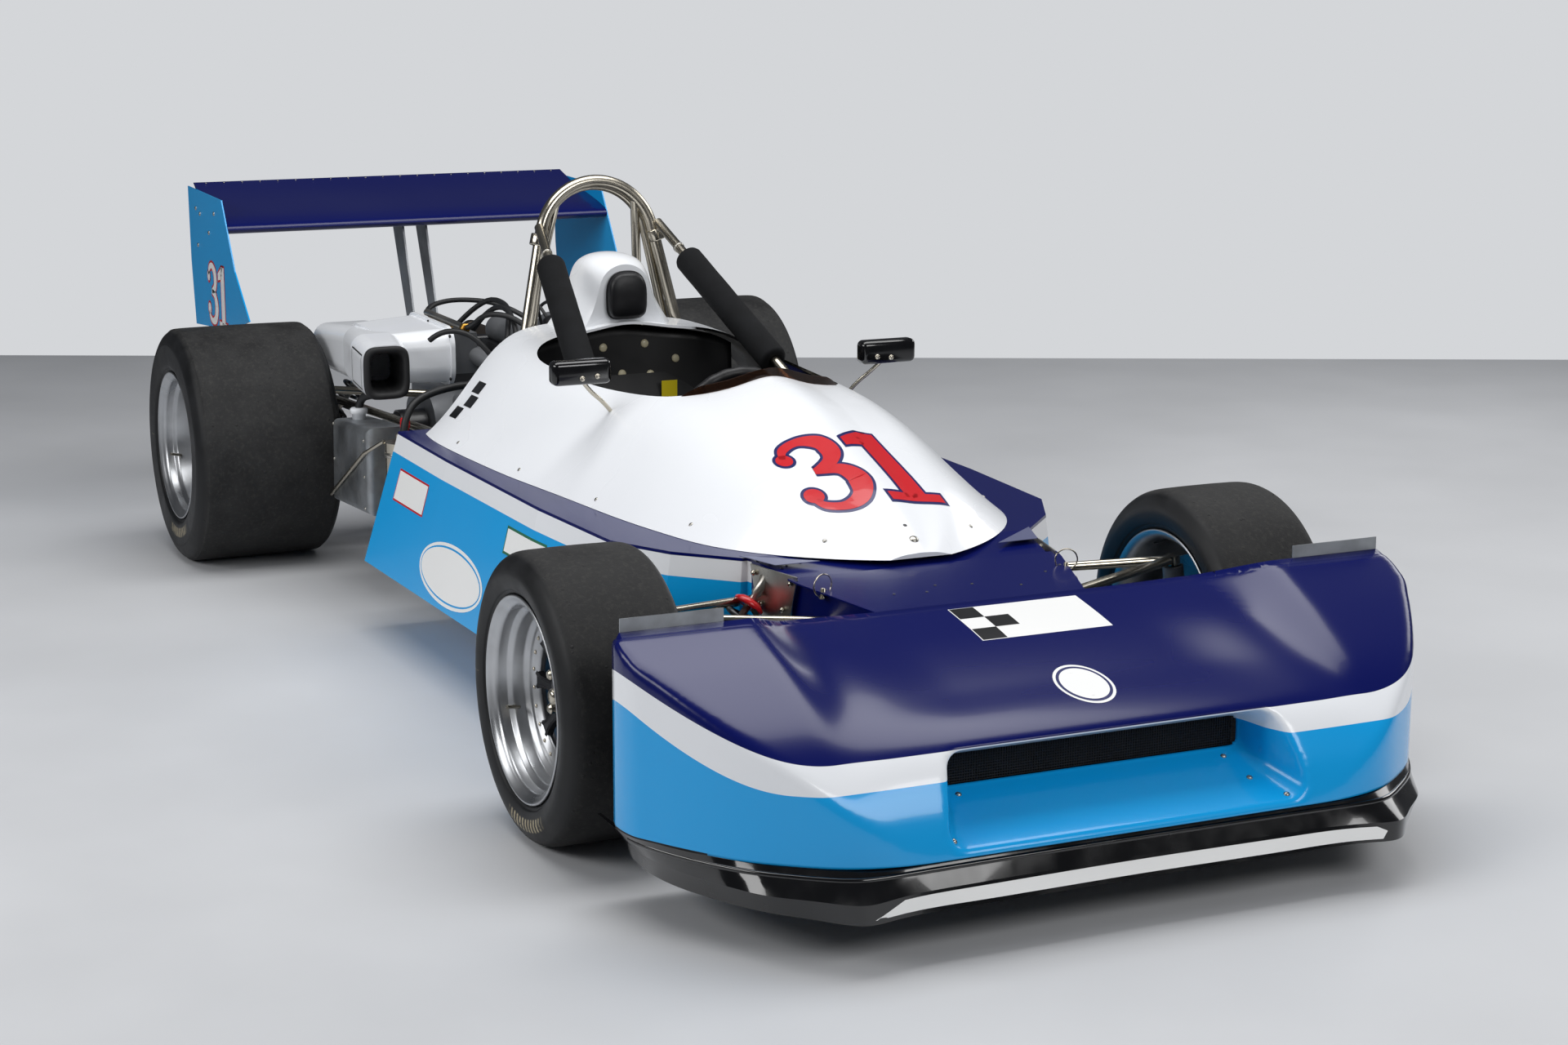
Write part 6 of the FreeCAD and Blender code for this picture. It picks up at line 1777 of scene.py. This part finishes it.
verts = []
for i in range(120):
    angle = math.tau * i / 120
    grip = 0.0125 + 0.0006 * math.cos(angle * 24)
    for k in range(16):
        around = math.tau * k / 16
        flat = 0.5 if math.sin(around) > 0.92 else 0.0
        lift = grip * math.sin(around) - 0.0004 * flat
        verts.append(on_wheel(angle, 0.122 + grip * math.cos(around), lift))
faces = ring_faces(120, 16, closed=True)
parts = [outward(piece("steer_rim", verts, faces, leather, "steering_wheel_body"))]
arm = [(-0.55, 0.026), (-0.13, 0.070), (-0.10, 0.116), (0.10, 0.116), (0.13, 0.070), (0.55, 0.026)]
ring = [(0.0055, -0.0002), (0.0075, -0.0002), (0.0075, 0.0038), (0.0055, 0.0038), (0.0055, -0.0002)]
for turn in (90, 210, 330):
    angle = math.radians(turn)
    outline = [on_wheel(angle + aside, reach, 0.005) for aside, reach in arm]
    spoke = prism_piece(
        "steer_spoke", outline, 0.0035, black_steel, 0.0008, "steering_wheel_body"
    )
    parts.append(spoke)
    for reach in (0.060, 0.080, 0.100):
        at = on_wheel(angle, reach, 0.005)
        parts.append(lathe("steer_eyelet", ring, at, face @ SKY, steel, "steering_wheel_body"))
boss = [
    (0.0, -0.006), (0.024, -0.006), (0.031, -0.003), (0.034, 0.004), (0.034, 0.010), (0.022, 0.016),
    (0.011, 0.03), (0.0098, 0.04), (0.0098, 0.56), (0.0, 0.56),
]
parts.append(lathe("steer_boss", boss, centre, axis, black_steel, "steering_wheel_body", steps=36))
places = [(on_wheel(math.tau * i / 6, 0.024, -0.005), -axis) for i in range(6)]
parts.append(fasteners("steer_bolts", places, 3.4, steel, "steering_wheel_body", 0.7))
made = joined("steering_wheel_trimmed", parts)
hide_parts("steering_wheel")

# Cockpit: black trim behind the seat up to the cowl, its studs and a bare yellow plate
verts = []
columns = 33
for i in range(columns):
    y = -250 + 500 * i / (columns - 1)
    x = -1432 + 60 * (y / 250) ** 2
    roof = surface_of("cowl").ray_cast(spot(x, y, 520), SKY)[0]
    top = min(roof.z - 0.008 if roof else 0.672, 0.672)
    for k in range(9):
        z = 0.470 + (top - 0.470) * k / 8
        verts.append(Vector((spot(x - 10 * k / 8, 0, 0).x, y / 1000, z)))
panel = piece("cockpit_trim", verts, sheet_faces(columns, 9), black_plastic, "chassis")
modified(panel, "SOLIDIFY", thickness=0.003, offset=0.0)
finish_piece(panel, black_plastic, "chassis")
trim = faces_of(panel.data)
studs = []
for y, z in ((-66, 566), (5, 560), (72, 556), (-128, 570), (-40, 622), (60, 626), (130, 590)):
    found = trim.ray_cast(spot(-1300, y, z), Vector((-1, 0, 0)))
    if found[0]:
        studs.append((found[0], Vector((1, 0, 0.1))))
fasteners("trim_studs", studs, 10.0, cream_plastic, "chassis", 0.35)
plate = [spot(-1394, y, z) for y, z in ((84, 505), (122, 505), (122, 545), (84, 545))]
prism_piece("bare_yellow_plate", plate, 0.0012, yellow_film, 0.0003)

# Rear: driveshaft boots, exhaust rim, gearbox bolts
for hand, side in SIDES:
    for start, way in ((226, 1), (392, -1)):
        bellows = [(0.0152, 0.060), (0.0175, 0.058)]
        for i in range(5):
            big = 0.022 + i * 0.0045
            bellows += [(big, 0.052 - i * 0.010), (big - 0.004, 0.047 - i * 0.010)]
        bellows += [(0.044, 0.001), (0.044, -0.006), (0.0152, -0.006)]
        place = Vector((REAR_AXLE, hand * start / 1000, 0.2885))
        lathe(
            "shaft_boot_" + side, bellows, place, (0, hand * way, 0), soft_rubber, "rear_wheel_" + side,
            steps=48,
        )
tip = [
    (0.0302, 0.0), (0.0315, 0.002), (0.0315, 0.030), (0.0302, 0.034), (0.0302, 0.030), (0.0296, 0.002),
    (0.0302, 0.0),
]
lathe("tailpipe_rim", tip, spot(-3000, 170, 438), EAST, exhaust_metal, steps=48)
for name, x, start, way in (("bell_bolts", -2282.5, 0.0, 1), ("case_bolts", -2297.5, 0.5, -1)):
    places = []
    for i in range(10):
        angle = math.tau * (i + start) / 10
        places.append((spot(x, 110 * math.cos(angle), 262 + 110 * math.sin(angle)), (way, 0, 0)))
    fasteners(name, places, 5.5, steel, "chassis", 0.9)
